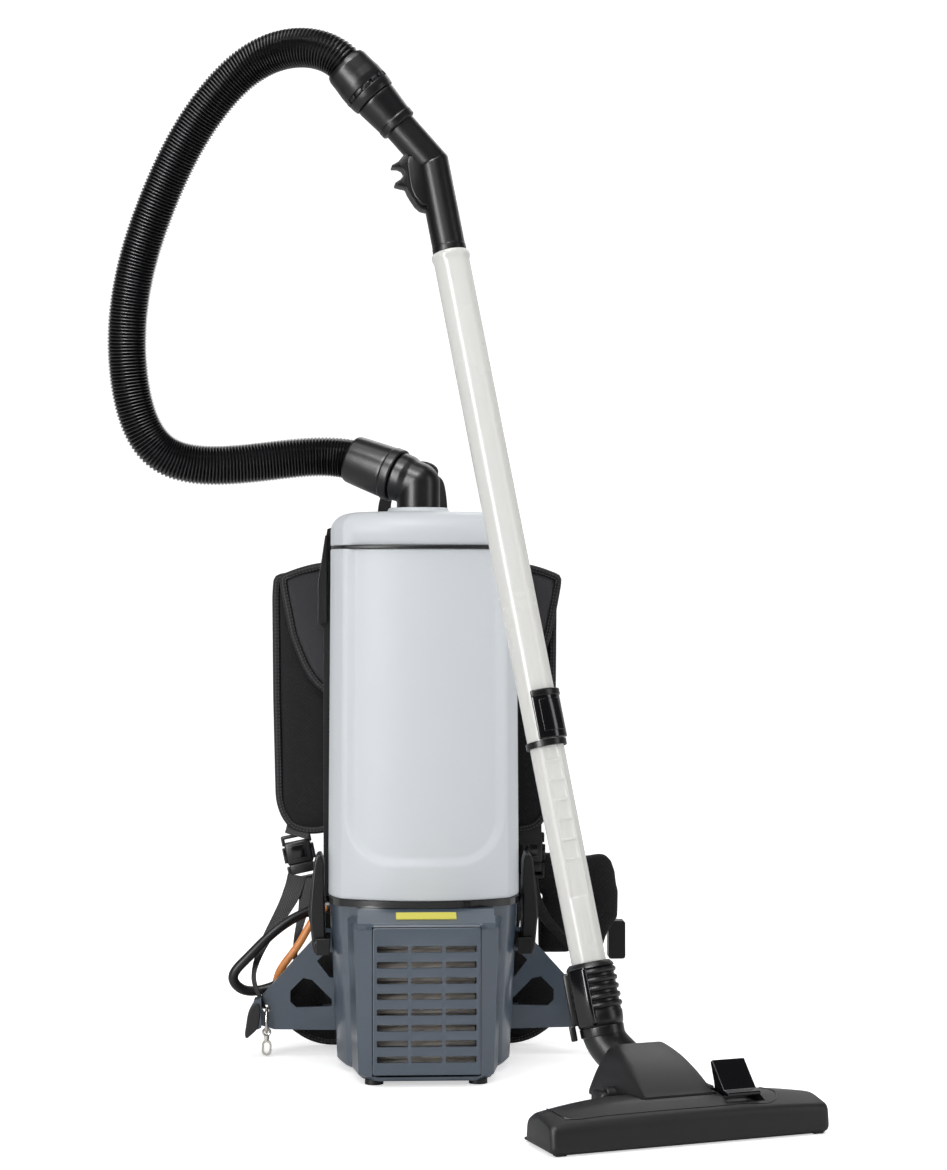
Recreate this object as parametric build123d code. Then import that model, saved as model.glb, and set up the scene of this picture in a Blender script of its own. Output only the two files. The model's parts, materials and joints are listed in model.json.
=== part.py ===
from build123d import *
import os
from math import atan2, cos, degrees, radians, sin

# Backpack vacuum cleaner, millimetres.  Origin: centre of the base's footprint on the floor.
# +Z is up, +Y is the wearer's side, -Y is the outward side with the exhaust grille.

# ---------------------------------------------------------------- driving dimensions
HALF_WIDTH = 95.0            # canister half width at its foot
FRONT_Y = -75.0              # foremost point of the canister
REAR_Y = 85.0                # flat rear of the canister
SHELL = 4.0                  # canister and lid wall
DRAFT = 0.4                  # canister draft, degrees
FLOOR_GAP = 5.0              # base underside above the floor, filled by the feet
DECK_Z = 165.0               # top of the base housing
RIM_Z = 172.0                # foot of the canister
SEAM_Z = 514.5               # top of the canister
LID_Z = 518.0                # foot of the lid
LID_HEIGHT = 34.0
RECESS_HALF = 72.0           # half width of the sunk front panel
RECESS_FOOT_Z = 212.0
RECESS_DEPTH = 2.0
BASE_TOP_HALF = 93.5
BASE_FOOT_HALF = 86.0
BOX_FRONT_Y = -118.0         # front face of the exhaust box
BOX_TOP_Z = 156.0
GRILLE_ROWS = 8
GRILLE_PITCH = 15.0
GRILLE_LOW_Z = 27.0
SLOT_HEIGHT = 6.2
SLOT_WIDTH = 29.7
RIB = 3.0
MOTOR_Y = 5.0
INLET = Vector(-5, 5, 0)     # axis of the hose inlet in the lid
PLATE_Y = 88.0               # front face of the back plate
PLATE_THICK = 7.0
BRACKET_Y = 44.0             # front face of the hip brackets
LUG_X = 158.0                # hole for the cord hook
LUG_Z = 49.0
WAND_TOP = Vector(23.5, -106, 792.3)
WAND_FOOT = Vector(145.0, -235, 130.9)
OUTER_TUBE_LENGTH = 476.0
OUTER_TUBE_R = 17.2
INNER_TUBE_R = 15.9
STRAP_X = {-1: 126, 1: 114}
BUCKLE_TILT = {-1: -12, 1: 0}
BASE_WALL = 3.5
MOTOR_CAN_R = 50.0
MOTOR_WALL = 4.0
MOTOR_LOW_Z = 36.0           # underside of the motor's lower cap
MOTOR_HIGH_Z = 116.0         # top of the motor's upper cap
ROTOR_R = 28.0
SHAFT_R = 4.0
FAN_R = 42.0
FAN_BLADES = 8
FILTER_FOLDS = 20
FILTER_PAPER = 2.2
LATCH_X = 103.0              # pivot of the latches
LATCH_Z = 121.0
LATCH_WIDTH = 38.0
PIN_R = 2.5
ELBOW_R = 21.72
ELBOW_BORE = 18.0
ELBOW_BEND = 32.0            # centreline bend from the inlet to the side outlet
ELBOW_TURN = 70.0            # degrees
CUFF_R = 26.2
CUFF_LENGTH = 52.0
HANDLE_R = 15.6
HANDLE_BORE = 13.0
BEND_BACK = 97.0             # wand top to the bend of the handle
WAND_BORE = 14.3
NOTCHES = 15                 # stops along the inner tube
NOTCH_START = -157.0         # first stop, from the end of the outer tube
NOTCH_PITCH = 18.5
NOTCH_DEPTH = 0.9
COLLAR_R = 20.5
COLLAR_RIBS = 5
COLLAR_RIB_PITCH = 7.7
NECK_R = 19.0
NECK_BORE = 14.8
HEAD_CENTRE = Vector(209.5, -342, 0)
HEAD_YAW = 18.4
HEAD_LENGTH = 264.0
PIVOT_Y = 50.0               # tilt axis of the floor head, in its own axes
PIVOT_Z = 29.0
PEDAL_X = 56.6
BRUSH_ROWS = ((-31, -25), (10, 16))
WHEEL_R = 9.0
HOSE_R = 19.0
HOSE_BORE = 15.5
PLATE_SCREW_X = 60.0
PLATE_SCREW_Z = (60, 140)
BRACKET_THICK = 4.0
PAD_FRONT_Y = 96.0
WEBBING_WIDTH = 12.0
WEBBING_THICK = 2.0
ORANGE_CORD_R = 4.0
BLACK_CORD_R = 5.0
OVER = 1.0                   # overshoot of cutting tools

WAND_DIR = (WAND_FOOT - WAND_TOP).normalized()
HANDLE_BEND = WAND_TOP - WAND_DIR * BEND_BACK
HOSE_END = Vector(-75, -88, 977)
HANDLE_DIR = (HANDLE_BEND - HOSE_END).normalized()
OUTLET_RISE = radians(20)
OUTLET_TURN = radians(24)
OUTLET_DIR = Vector(
    -cos(OUTLET_RISE) * cos(OUTLET_TURN),
    cos(OUTLET_RISE) * sin(OUTLET_TURN),
    sin(OUTLET_RISE),
)
UP = Vector(0, 0, 1)

# slope between the exhaust box and the gasket, as (y, z)
SHOULDER = [(-111, 150), (-111, 155.6), (-80, 164.8), (-55, 164.8), (-55, 150)]
# material taken from the hood's mouth, as (y, z) in the floor head's own axes
MOUTH_CUT = [(76, 90), (76, 68), (97, 20), (120, 20), (120, 90)]


# ---------------------------------------------------------------- helpers
def along(start, direction):
    """Plane at start whose normal is the given direction."""
    return Plane(origin=start, z_dir=direction)


def rod(start, end, radius):
    length = (end - start).length
    return along(start, end - start) * Cylinder(radius, length, align=(Align.CENTER, Align.CENTER, Align.MIN))


def tube(start, end, outer, inner):
    reach = (end - start).normalized() * OVER
    return rod(start, end, outer) - rod(start - reach, end + reach, inner)


def block(x, y, z):
    """Box from three (low, high) pairs."""
    centre = ((x[0] + x[1]) / 2, (y[0] + y[1]) / 2, (z[0] + z[1]) / 2)
    return Pos(*centre) * Box(x[1] - x[0], y[1] - y[0], z[1] - z[0])


def mirrored(solid):
    return mirror(solid, about=Plane.YZ)


def plate_xz(points, y, thick, radius=0.0):
    """Plate from an outline in the X-Z plane, from y towards +Y."""
    face = make_face(Polyline(*[(px, 0, pz) for px, pz in points], close=True))
    solid = extrude(face, amount=thick, dir=(0, 1, 0))
    solid = Pos(0, y, 0) * solid
    if radius:
        solid = fillet(solid.edges().filter_by(Axis.Y), radius)
    return solid


def body_outline(half, front, rear, inset=0.0):
    """Plan of the canister: a wide front arc, rounded flanks and a flat back."""
    shoulder_x = 0.865 * half
    shoulder_y = front + 24
    flank_y = front + 75
    corner = 20
    bulge = corner * (1 - cos(radians(45)))
    curves = [ThreePointArc((-shoulder_x, shoulder_y), (0, front), (shoulder_x, shoulder_y))]
    curves += [Line((half - corner, rear), (-half + corner, rear))]
    for side in (-1, 1):
        curves += [
            ThreePointArc(
                (side * shoulder_x, shoulder_y),
                (side * 0.962 * half, (shoulder_y + flank_y) / 2 - 4),
                (side * half, flank_y),
            ),
            Line((side * half, flank_y), (side * half, rear - corner)),
            ThreePointArc(
                (side * half, rear - corner),
                (side * (half - bulge), rear - bulge),
                (side * (half - corner), rear),
            ),
        ]
    face = make_face(curves)
    if inset:
        face = offset(face, amount=-inset)
    return face


def canister_block(z0, z1, inset):
    """Solid block of the tapering canister between two heights, inset from its surface."""
    shrink = (z0 - RIM_Z) * sin(radians(DRAFT))
    face = body_outline(HALF_WIDTH, FRONT_Y, REAR_Y, inset + shrink)
    return Pos(0, 0, z0) * extrude(face, amount=z1 - z0, taper=DRAFT)


def box_outline(half, front, inset):
    """Plan of the exhaust box in front of the base."""
    points = [
        (-half, -40),
        (-half, front + 58),
        (-half + 6, front + 18),
        (-half + 24, front),
        (half - 24, front),
        (half - 6, front + 18),
        (half, front + 58),
        (half, -40),
    ]
    face = make_face(Polyline(*points, close=True))
    if inset:
        face = offset(face, amount=-inset, kind=Kind.INTERSECTION)
    return face


def write(name, shape):
    """One STEP per node.  Several separate solids go in as one compound."""
    shapes = shape if isinstance(shape, list) else [shape]
    solids = [solid for item in shapes for solid in item.solids()]
    body = solids[0] if len(solids) == 1 else Compound(children=solids)
    export_step(body, f"parts/{name}.step")


# ---------------------------------------------------------------- base
def base_block(inset, low, high):
    top = Pos(0, 0, high) * body_outline(BASE_TOP_HALF, FRONT_Y + 1, REAR_Y - 1, inset)
    foot = Pos(0, 0, low) * body_outline(BASE_FOOT_HALF, FRONT_Y + 8, REAR_Y - 7, inset)
    return loft([foot, top])


def box_block(inset, low, high):
    top = Pos(0, 0, high) * box_outline(76, BOX_FRONT_Y, inset)
    foot = Pos(0, 0, low) * box_outline(71, BOX_FRONT_Y + 3, inset)
    return loft([foot, top])


def motor_housing():
    box = box_block(0, FLOOR_GAP, BOX_TOP_Z)
    rim = box.edges().filter_by_position(Axis.Z, BOX_TOP_Z - 0.1, BOX_TOP_Z + 0.1)
    front_rim = [edge for edge in rim if edge.center().Y < -60]
    box = fillet(front_rim, 7)
    slope = Plane.YZ * make_face(Polyline(*SHOULDER, close=True))
    box += extrude(slope, amount=66, both=True)
    body = base_block(0, FLOOR_GAP, DECK_Z) + box
    foot_edges = body.edges().filter_by_position(Axis.Z, FLOOR_GAP - 0.1, FLOOR_GAP + 0.1)
    body = chamfer(foot_edges, 4)
    body -= base_block(BASE_WALL, FLOOR_GAP + 4, DECK_Z - 4)
    body -= box_block(BASE_WALL, FLOOR_GAP + 4, BOX_TOP_Z - 8)
    body -= rod(Vector(0, MOTOR_Y, DECK_Z - 10), Vector(0, MOTOR_Y, DECK_Z + OVER), 38)
    body -= block((-52.2, 52.2), (BOX_FRONT_Y - 20, BOX_FRONT_Y + 12), (9.5, 153.0))
    return body


def exhaust_cover():
    front = BOX_FRONT_Y - 1.2
    panel = block((-51.5, 51.5), (front, front + 4), (12, 152.3))
    panel = fillet(panel.edges().filter_by(Axis.Y), 2)
    panel = fillet(panel.faces().sort_by(Axis.Y)[0].edges(), 1.2)
    for row in range(GRILLE_ROWS):
        for column in (-1, 0, 1):
            middle = Vector(column * (SLOT_WIDTH + RIB), front, GRILLE_LOW_Z + row * GRILLE_PITCH)
            slot = Pos(*middle) * Box(SLOT_WIDTH, 20, SLOT_HEIGHT)
            panel -= fillet(slot.edges().filter_by(Axis.Y), 1.2)
    return panel


def exhaust_filter():
    """Pleated pack: one zig-zag solid with its folds running across."""
    low, high = 20.0, 144.0
    near, far = -109.0, -91.0
    pitch = (high - low) / FILTER_FOLDS
    front = []
    back = []
    for fold in range(FILTER_FOLDS):
        z = low + fold * pitch
        front += [(near, z), (far, z + pitch / 2)]
        back += [(near + FILTER_PAPER, z), (far + FILTER_PAPER, z + pitch / 2)]
    front += [(near, high)]
    back += [(near + FILTER_PAPER, high)]
    face = Plane.YZ * make_face(Polyline(*front, *reversed(back), close=True))
    return extrude(face, amount=47, both=True)


def filter_frame():
    frame = block((-51, 51), (-111.5, -88), (16, 148))
    return frame - block((-47.6, 47.6), (-113, -80), (19.6, 144.4))


def label_plate():
    """Plain yellow strip on the sloping shoulder above the grille."""
    rise = degrees(atan2(164.8 - 155.6, 31))
    return Pos(0, -95.5, 160.2) * Rot(rise, 0, 0) * Pos(0, 0, 0.55) * Box(58, 15, 1)


def foot_pads():
    spots = [(side * 50, y) for side in (-1, 1) for y in (-96, 58)] + [(0, 0)]
    return [Pos(x, y, FLOOR_GAP / 2) * Cylinder(9, FLOOR_GAP) for x, y in spots]


def latch(side):
    """Over-centre lever that pulls the canister down on the base."""
    points = [(97.5, 121), (103, 113), (108, 116), (113, 150)]
    points += [(111.5, 166), (107.5, 206), (104, 213), (99.5, 206)]
    lever = plate_xz([(side * x, z) for x, z in points], -LATCH_WIDTH / 2, LATCH_WIDTH)
    hole = rod(Vector(side * LATCH_X, -30, LATCH_Z), Vector(side * LATCH_X, 30, LATCH_Z), PIN_R + 0.05)
    return lever - hole


def latch_pivot(side):
    """Pin of the lever, with its two cheeks on the base."""
    pin = rod(Vector(side * LATCH_X, -25, LATCH_Z), Vector(side * LATCH_X, 25, LATCH_Z), PIN_R)
    for low in (-25, 20):
        pin += block(sorted((side * 93.2, side * 107)), (low, low + 5), (113, 129))
    return pin


# ---------------------------------------------------------------- motor
def on_motor_axis(z):
    return Vector(0, MOTOR_Y, z)


def motor_stator():
    """Can with two end caps that carry the bearings."""
    bore = MOTOR_CAN_R - MOTOR_WALL
    can = tube(on_motor_axis(40), on_motor_axis(112), MOTOR_CAN_R, bore)
    for low in (MOTOR_LOW_Z, MOTOR_HIGH_Z - MOTOR_WALL):
        cap = rod(on_motor_axis(low), on_motor_axis(low + MOTOR_WALL), MOTOR_CAN_R)
        can += cap - rod(on_motor_axis(low - 6), on_motor_axis(low + 10), 9)
    return can


def motor_rotor():
    """Shaft, armature and the fan with its blades between two discs."""
    rotor = rod(on_motor_axis(32), on_motor_axis(138), SHAFT_R)
    rotor += rod(on_motor_axis(50), on_motor_axis(100), ROTOR_R)
    fan = rod(on_motor_axis(121), on_motor_axis(123), FAN_R)
    fan += rod(on_motor_axis(131), on_motor_axis(132.5), FAN_R)
    fan -= rod(on_motor_axis(130), on_motor_axis(134), 18)
    for blade in range(FAN_BLADES):
        vane = block((10, FAN_R - 1), (-0.8, 0.8), (122.5, 131.5))
        fan += Pos(0, MOTOR_Y, 0) * Rot(0, 0, blade * 360 / FAN_BLADES) * vane
    return rotor + fan + rod(on_motor_axis(121), on_motor_axis(136), 8)


def motor_bearings():
    seats = (MOTOR_LOW_Z + 0.2, MOTOR_HIGH_Z - MOTOR_WALL + 0.2)
    return [tube(on_motor_axis(low), on_motor_axis(low + 3.6), 8.9, SHAFT_R + 0.03) for low in seats]


def fan_shroud():
    shroud = rod(on_motor_axis(117), on_motor_axis(144), 52)
    shroud -= rod(on_motor_axis(119), on_motor_axis(142), 48)
    shroud -= rod(on_motor_axis(140), on_motor_axis(146), 20)
    return shroud - rod(on_motor_axis(116), on_motor_axis(120), 12)


def motor_mounts():
    """Rubber rings above and below the motor."""
    upper = tube(on_motor_axis(144.5), on_motor_axis(160.5), 52, 44)
    lower = tube(on_motor_axis(9.5), on_motor_axis(31), 50, 40)
    return [upper, lower]


# ---------------------------------------------------------------- canister and lid
def gasket_ring(low, high, out, into):
    face = body_outline(HALF_WIDTH, FRONT_Y, REAR_Y, -out) - body_outline(HALF_WIDTH, FRONT_Y, REAR_Y, into)
    return Pos(0, 0, low) * extrude(face, amount=high - low)


def canister():
    shell = canister_block(RIM_Z, SEAM_Z, 0) - canister_block(RIM_Z, SEAM_Z, SHELL)
    height = SEAM_Z + 20 - RECESS_FOOT_Z
    panel = Pos(0, -60, RECESS_FOOT_Z + height / 2) * Box(2 * RECESS_HALF, 80, height)
    corners = panel.edges().filter_by(Axis.Y).group_by(Axis.Z)[0]
    panel = fillet(corners, 38)
    return shell - (panel - canister_block(RIM_Z, SEAM_Z + 20, RECESS_DEPTH))


def lid():
    outer = canister_block(LID_Z, LID_Z + LID_HEIGHT, 0)
    outer = fillet(outer.faces().sort_by(Axis.Z)[-1].edges(), 15)
    inner = canister_block(LID_Z - OVER, LID_Z + LID_HEIGHT - SHELL, SHELL)
    inner = fillet(inner.faces().sort_by(Axis.Z)[-1].edges(), 11)
    dome = outer - inner
    collar_top = LID_Z + LID_HEIGHT + 4
    collar = rod(INLET + Vector(0, 0, LID_Z + LID_HEIGHT - 2), INLET + Vector(0, 0, collar_top), 29)
    collar = fillet(collar.faces().sort_by(Axis.Z)[-1].edges(), 2)
    return dome + collar - rod(INLET + Vector(0, 0, LID_Z), INLET + Vector(0, 0, LID_Z + 60), 21.8)


def dust_bag():
    bag = block((-68, 68), (-46, 62), (204, 470))
    return fillet(bag.edges(), 24)


def bag_collar():
    plate = block((-58, 58), (-40, 54), (474, 477))
    plate = fillet(plate.edges().filter_by(Axis.Z), 12)
    return plate - rod(INLET + Vector(0, 0, 470), INLET + Vector(0, 0, 480), 21)


def pre_motor_filter():
    return Pos(0, MOTOR_Y, 176) * Cylinder(70, 10)


# ---------------------------------------------------------------- hose line
def elbow_end():
    """Start and end of the elbow's bend, and the level direction of its outlet."""
    flat = Vector(OUTLET_DIR.X, OUTLET_DIR.Y, 0).normalized()
    start = INLET + Vector(0, 0, LID_Z + LID_HEIGHT + 6)
    turn = radians(ELBOW_TURN)
    end = start + flat * ELBOW_BEND * (1 - cos(turn)) + UP * ELBOW_BEND * sin(turn)
    return start, end, flat


def elbow_corner():
    start, end, flat = elbow_end()
    return end - OUTLET_DIR * ((end - start).dot(flat) / OUTLET_DIR.dot(flat))


def elbow():
    """Upright tube and side outlet that meet in a rounded corner."""
    corner = elbow_corner()
    foot = INLET + Vector(0, 0, LID_Z + LID_HEIGHT - SHELL - 4)
    tail = elbow_end()[1] + OUTLET_DIR * 24
    outer = rod(foot, corner, ELBOW_R) + rod(corner, tail, ELBOW_R) + Pos(*corner) * Sphere(ELBOW_R)
    outer += rod(corner + OUTLET_DIR * 12, elbow_end()[1] + OUTLET_DIR * 1.5, 25)
    inner = rod(foot - UP, corner, ELBOW_BORE) + rod(corner, tail + OUTLET_DIR, ELBOW_BORE)
    inner += Pos(*corner) * Sphere(ELBOW_BORE)
    flange = rod(foot - UP * 4, foot, 26) - rod(foot - UP * 6, foot + UP * 2, ELBOW_BORE)
    return outer - inner + flange


def hose_cuff_lower():
    start = elbow_end()[1] + OUTLET_DIR * 2
    body = tube(start, start + OUTLET_DIR * CUFF_LENGTH, CUFF_R, 21.8)
    body += tube(start + OUTLET_DIR * 9, start + OUTLET_DIR * 13, 27.6, 22)
    return body


def hose_path():
    start = elbow_end()[1] + OUTLET_DIR * 42
    via = [
        Vector(-194, 29, 600),
        Vector(-262, 20, 612),
        Vector(-294, 10, 690),
        Vector(-262, -20, 859),
        Vector(-203, -45, 955),
        Vector(-143, -66, 993),
    ]
    end = HOSE_END - HANDLE_DIR * 3
    return Spline(start, *via, end, tangents=[OUTLET_DIR, HANDLE_DIR])


def hose():
    path = hose_path()
    section = along(path @ 0, path % 0)
    return sweep(section * Circle(HOSE_R), path=path) - sweep(section * Circle(HOSE_BORE), path=path)


def handle_station(distance):
    return HOSE_END + HANDLE_DIR * distance


def swivel_collar():
    """Collar clipped on the hose end, in which the handle turns."""
    body = tube(handle_station(-8), handle_station(37), 23.4, 19.3)
    body += tube(handle_station(2), handle_station(6), 24.6, 20)
    return body


def handle_solid(radius):
    """Two straight legs that meet in a rounded corner."""
    upper = rod(handle_station(6), HANDLE_BEND, radius)
    lower = rod(HANDLE_BEND, WAND_TOP + WAND_DIR * 34, radius)
    return upper + lower + Pos(*HANDLE_BEND) * Sphere(radius)


def handle_pipe():
    foot = along(handle_station(38), HANDLE_DIR)
    sleeve = foot * Cone(21, 18.5, 28, align=(Align.CENTER, Align.CENTER, Align.MIN))
    sleeve += rod(handle_station(66), handle_station(70), 19.3)
    sleeve += rod(handle_station(7), handle_station(38.5), 19.22)
    bore = handle_solid(HANDLE_BORE) + rod(handle_station(0), handle_station(90), HANDLE_BORE)
    bore += rod(WAND_TOP, WAND_TOP + WAND_DIR * 40, HANDLE_BORE)
    return handle_solid(HANDLE_R) + sleeve - bore


def slider_frame():
    """Plane on the underside of the handle pipe's lower leg: x away from the pipe, z up the pipe."""
    out = (Vector(-1, -0.15, 0) - WAND_DIR * Vector(-1, -0.15, 0).dot(WAND_DIR)).normalized()
    return Plane(origin=HANDLE_BEND + WAND_DIR * 26, x_dir=out, z_dir=-WAND_DIR)


def air_slider():
    """Thumb slide over the handle's air port, with two swept-back fins."""
    outline = [(10, -22), (19, -22), (26, -10), (29, 6), (30, 24), (29, 38), (10, 38)]
    fins = [[(25, -2), (35, 10), (28, 8)], [(27, 14), (40, 27), (29, 25)]]
    frame = slider_frame()
    grip = Rot(90, 0, 0) * extrude(make_face(Polyline(*outline, close=True)), amount=9, both=True)
    for fin in fins:
        grip += Rot(90, 0, 0) * extrude(make_face(Polyline(*fin, close=True)), amount=7, both=True)
    return frame * grip - handle_solid(HANDLE_R + 0.3)


# ---------------------------------------------------------------- wand
def wand_station(distance):
    return WAND_TOP + WAND_DIR * distance


def outer_tube():
    lip = tube(wand_station(-4), wand_station(6), 18.3, 15.8)
    return tube(wand_station(-4), wand_station(OUTER_TUBE_LENGTH), OUTER_TUBE_R, 16.0) + lip


def tube_end_ring():
    start = wand_station(OUTER_TUBE_LENGTH - 2)
    return tube(start, wand_station(OUTER_TUBE_LENGTH + 4), 19.0, OUTER_TUBE_R + 0.05)


def release_frame():
    """Plane on the side of the wand that faces the user, z down the wand."""
    out = (Vector(0.45, -0.89, 0) - WAND_DIR * Vector(0.45, -0.89, 0).dot(WAND_DIR)).normalized()
    return Plane(origin=wand_station(OUTER_TUBE_LENGTH - 26), x_dir=out, z_dir=WAND_DIR)


def notch_frame():
    """Plane through the row of notches in the inner tube, z down the wand."""
    out = (Vector(0.19, -0.98, 0) - WAND_DIR * Vector(0.19, -0.98, 0).dot(WAND_DIR)).normalized()
    return Plane(origin=wand_station(OUTER_TUBE_LENGTH), x_dir=out, z_dir=WAND_DIR)


def release_housing():
    saddle = release_frame() * block((8, 22), (-13, 13), (-26, 23.4))
    core = rod(wand_station(300), wand_station(OUTER_TUBE_LENGTH), OUTER_TUBE_R + 0.05)
    pocket = release_frame() * block((18.2, 40), (-8.3, 8.3), (-15.3, 15.3))
    return saddle - core - pocket


def release_button():
    return release_frame() * block((20.4, 24.5), (-8, 8), (-15, 15))


def inner_tube():
    """Sliding tube with a row of shallow stops and one long flat below them."""
    body = tube(wand_station(OUTER_TUBE_LENGTH - 262), WAND_FOOT + WAND_DIR * 44, INNER_TUBE_R, WAND_BORE)
    reach = (INNER_TUBE_R - NOTCH_DEPTH, 20)
    for notch in range(NOTCHES):
        centre = NOTCH_START + notch * NOTCH_PITCH
        body -= notch_frame() * block(reach, (-6, 6), (centre - 8, centre + 8))
    return body - notch_frame() * block(reach, (-6, 6), (113, 144))


# ---------------------------------------------------------------- floor tool
def collar_end():
    return WAND_FOOT + WAND_DIR * 52


def tube_collar():
    start = WAND_FOOT - WAND_DIR * 4
    body = tube(start, collar_end(), COLLAR_R, INNER_TUBE_R + 0.05)
    for rib in range(COLLAR_RIBS):
        low = start + WAND_DIR * (5 + rib * COLLAR_RIB_PITCH)
        body += tube(low, low + WAND_DIR * 4, 23, 20)
    return body


def parking_clip():
    """Hook on the collar that hangs the wand on the machine."""
    out = (Vector(-1, 0.1, 0) - WAND_DIR * Vector(-1, 0.1, 0).dot(WAND_DIR)).normalized()
    frame = Plane(origin=WAND_FOOT, x_dir=out, z_dir=WAND_DIR)
    clip = frame * block((23.2, 27), (-9, 9), (4, 62))
    clip += frame * block((23.2, 30), (-9, 9), (57, 62))
    return clip - rod(WAND_FOOT, WAND_FOOT + WAND_DIR * 80, 23.1)


def head_place(shape):
    return Pos(*HEAD_CENTRE) * Rot(0, 0, HEAD_YAW) * shape


def head_point(x, y, z):
    turn = radians(HEAD_YAW)
    return HEAD_CENTRE + Vector(x * cos(turn) - y * sin(turn), x * sin(turn) + y * cos(turn), z)


def nozzle_neck():
    start = collar_end() + WAND_DIR * 0.5
    end = head_point(0, 84, 42)
    knee = start + WAND_DIR * 14
    lean = (end - knee) * 0.35
    near = start + WAND_DIR * 2
    path = Wire([Line(start, near), Bezier(near, knee, knee + lean), Line(knee + lean, end)])
    section = along(start, WAND_DIR)
    return sweep(section * Circle(NECK_R), path=path) - sweep(section * Circle(NECK_BORE), path=path)


def section_xz(y, points):
    """Face in the plane y, in the floor head's own axes."""
    return Plane(origin=(0, y, 0), x_dir=(1, 0, 0), z_dir=(0, -1, 0)) * make_face(Polyline(*points, close=True))


def section_yz(points):
    """Face in the plane x = 0, in the floor head's own axes."""
    return Plane.YZ * make_face(Polyline(*points, close=True))


def nozzle_knuckle():
    """Hood over the tilt joint, a wedge that runs down to the front of the head."""
    rear = section_xz(94, [(-43, 22), (43, 22), (27, 70), (-27, 70)])
    front = section_xz(-8, [(-33, 35.5), (33, 35.5), (32, 39), (-32, 39)])
    hood = head_place(loft([rear, front]))
    barrel = head_place(rod(Vector(-45.5, PIVOT_Y, PIVOT_Z), Vector(45.5, PIVOT_Y, PIVOT_Z), 9))
    bore = rod(head_point(-60, PIVOT_Y, PIVOT_Z), head_point(60, PIVOT_Y, PIVOT_Z), 3.05)
    throat = rod(collar_end() + WAND_DIR * 10, head_point(0, 70, 36), NECK_R + 0.1)
    mouth = head_place(extrude(section_yz(MOUTH_CUT), amount=60, both=True))
    return hood - mouth + barrel - bore - throat - nozzle_neck()


def nozzle_axle():
    return rod(head_point(-55.5, PIVOT_Y, PIVOT_Z), head_point(55.5, PIVOT_Y, PIVOT_Z), 3.0)


def nozzle_head():
    section = make_face(Polyline((-36, 4), (-35, 27), (-8, 38), (22, 34), (36, 18), (36, 4), close=True))
    bar = Plane.YZ * extrude(section, amount=HEAD_LENGTH / 2, both=True)
    half = HEAD_LENGTH / 2
    plan = [(-half, -37), (half, -37), (half - 2, 24), (66, 37), (-66, 37), (-half + 2, 24)]
    bar &= extrude(make_face(Polyline(*plan, close=True)), amount=60)
    for side in (-1, 1):
        ear = sorted((side * 46, side * 56))
        bar += block(ear, (30, PIVOT_Y), (6, PIVOT_Z + 9))
        bar += rod(Vector(ear[0], PIVOT_Y, PIVOT_Z - 3), Vector(ear[1], PIVOT_Y, PIVOT_Z - 3), 12)
    bar -= block((-36.4, 36.4), (-8.6, 20), (14, 60))
    bar -= block((-45.7, 45.7), (18, 70), (14, 60))
    bar -= block((-24, 24), (-20, 20), (0, 20))
    bar -= block((PEDAL_X - 18.2, PEDAL_X + 18.2), (-24, 18), (27, 60))
    for row in BRUSH_ROWS:
        bar -= block((-126, 126), row, (0, 12))
    for height, radius in ((PIVOT_Z, 3.02), (WHEEL_R, 2.02)):
        bar -= rod(Vector(-60, PIVOT_Y, height), Vector(60, PIVOT_Y, height), radius)
    return head_place(bar)


def sole_plate():
    plate = block((-128, 128), (-34, 34), (1.5, 3.8))
    plate -= block((-24.5, 24.5), (-20.5, 20.5), (0, 5))
    for low, high in BRUSH_ROWS:
        plate -= block((-126.5, 126.5), (low - 0.5, high + 0.5), (0, 5))
    return head_place(plate)


def brush_strips():
    front, rear = (block((-125.5, 125.5), (low + 1, high - 1), (0.3, 7)) for low, high in BRUSH_ROWS)
    return head_place(front + rear)


def wheel_axle():
    return rod(head_point(-54, PIVOT_Y, WHEEL_R), head_point(54, PIVOT_Y, WHEEL_R), 2.0)


def nozzle_wheels():
    wheels = []
    for low in (-44, 34):
        ends = (head_point(low, PIVOT_Y, WHEEL_R), head_point(low + 10, PIVOT_Y, WHEEL_R))
        wheel = rod(*ends, WHEEL_R)
        wheel = fillet(wheel.edges().filter_by(GeomType.CIRCLE), 1.5)
        wheels.append(wheel - rod(head_point(-60, PIVOT_Y, WHEEL_R), head_point(60, PIVOT_Y, WHEEL_R), 2.05))
    return wheels


def nozzle_pedal():
    """Rocker: the wide wing stands up for the foot, the short one lies behind it."""
    points = [(-20, 36), (-12, 35.5), (-3, 31), (5, 31), (8, 44), (15, 60), (12, 62), (-11, 40), (-20, 39)]
    face = make_face(Polyline(*points, close=True))
    pedal = Pos(PEDAL_X, 0, 0) * (Plane.YZ * extrude(face, amount=16, both=True))
    hole = rod(Vector(PEDAL_X - 25, 1, 34), Vector(PEDAL_X + 25, 1, 34), 1.55)
    return head_place(pedal - hole)


def pedal_pin():
    return rod(head_point(PEDAL_X - 17.6, 1, 34), head_point(PEDAL_X + 17.6, 1, 34), 1.5)


# ---------------------------------------------------------------- carrying frame
def back_plate():
    outline = [(-88, 22), (-101, 60), (-101, 434), (-106.5, 440), (-106.5, 480), (-97, 537), (-60, 548)]
    outline += [(-x, z) for x, z in reversed(outline)]
    plate = plate_xz(outline, PLATE_Y, PLATE_THICK)
    for side in (-1, 1):
        wing = [(97.5, 440), (106.5, 440), (106.5, 480), (99, 530), (97.5, 530)]
        plate += plate_xz([(side * x, z) for x, z in wing], 66, PLATE_Y - 65)
        x = side * PLATE_SCREW_X
        for z in PLATE_SCREW_Z:
            plate -= rod(Vector(x, 80, z), Vector(x, 100, z), 2.6)
            plate -= rod(Vector(x, PLATE_Y + 4.5, z), Vector(x, 100, z), 5.2)
    return plate


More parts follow.
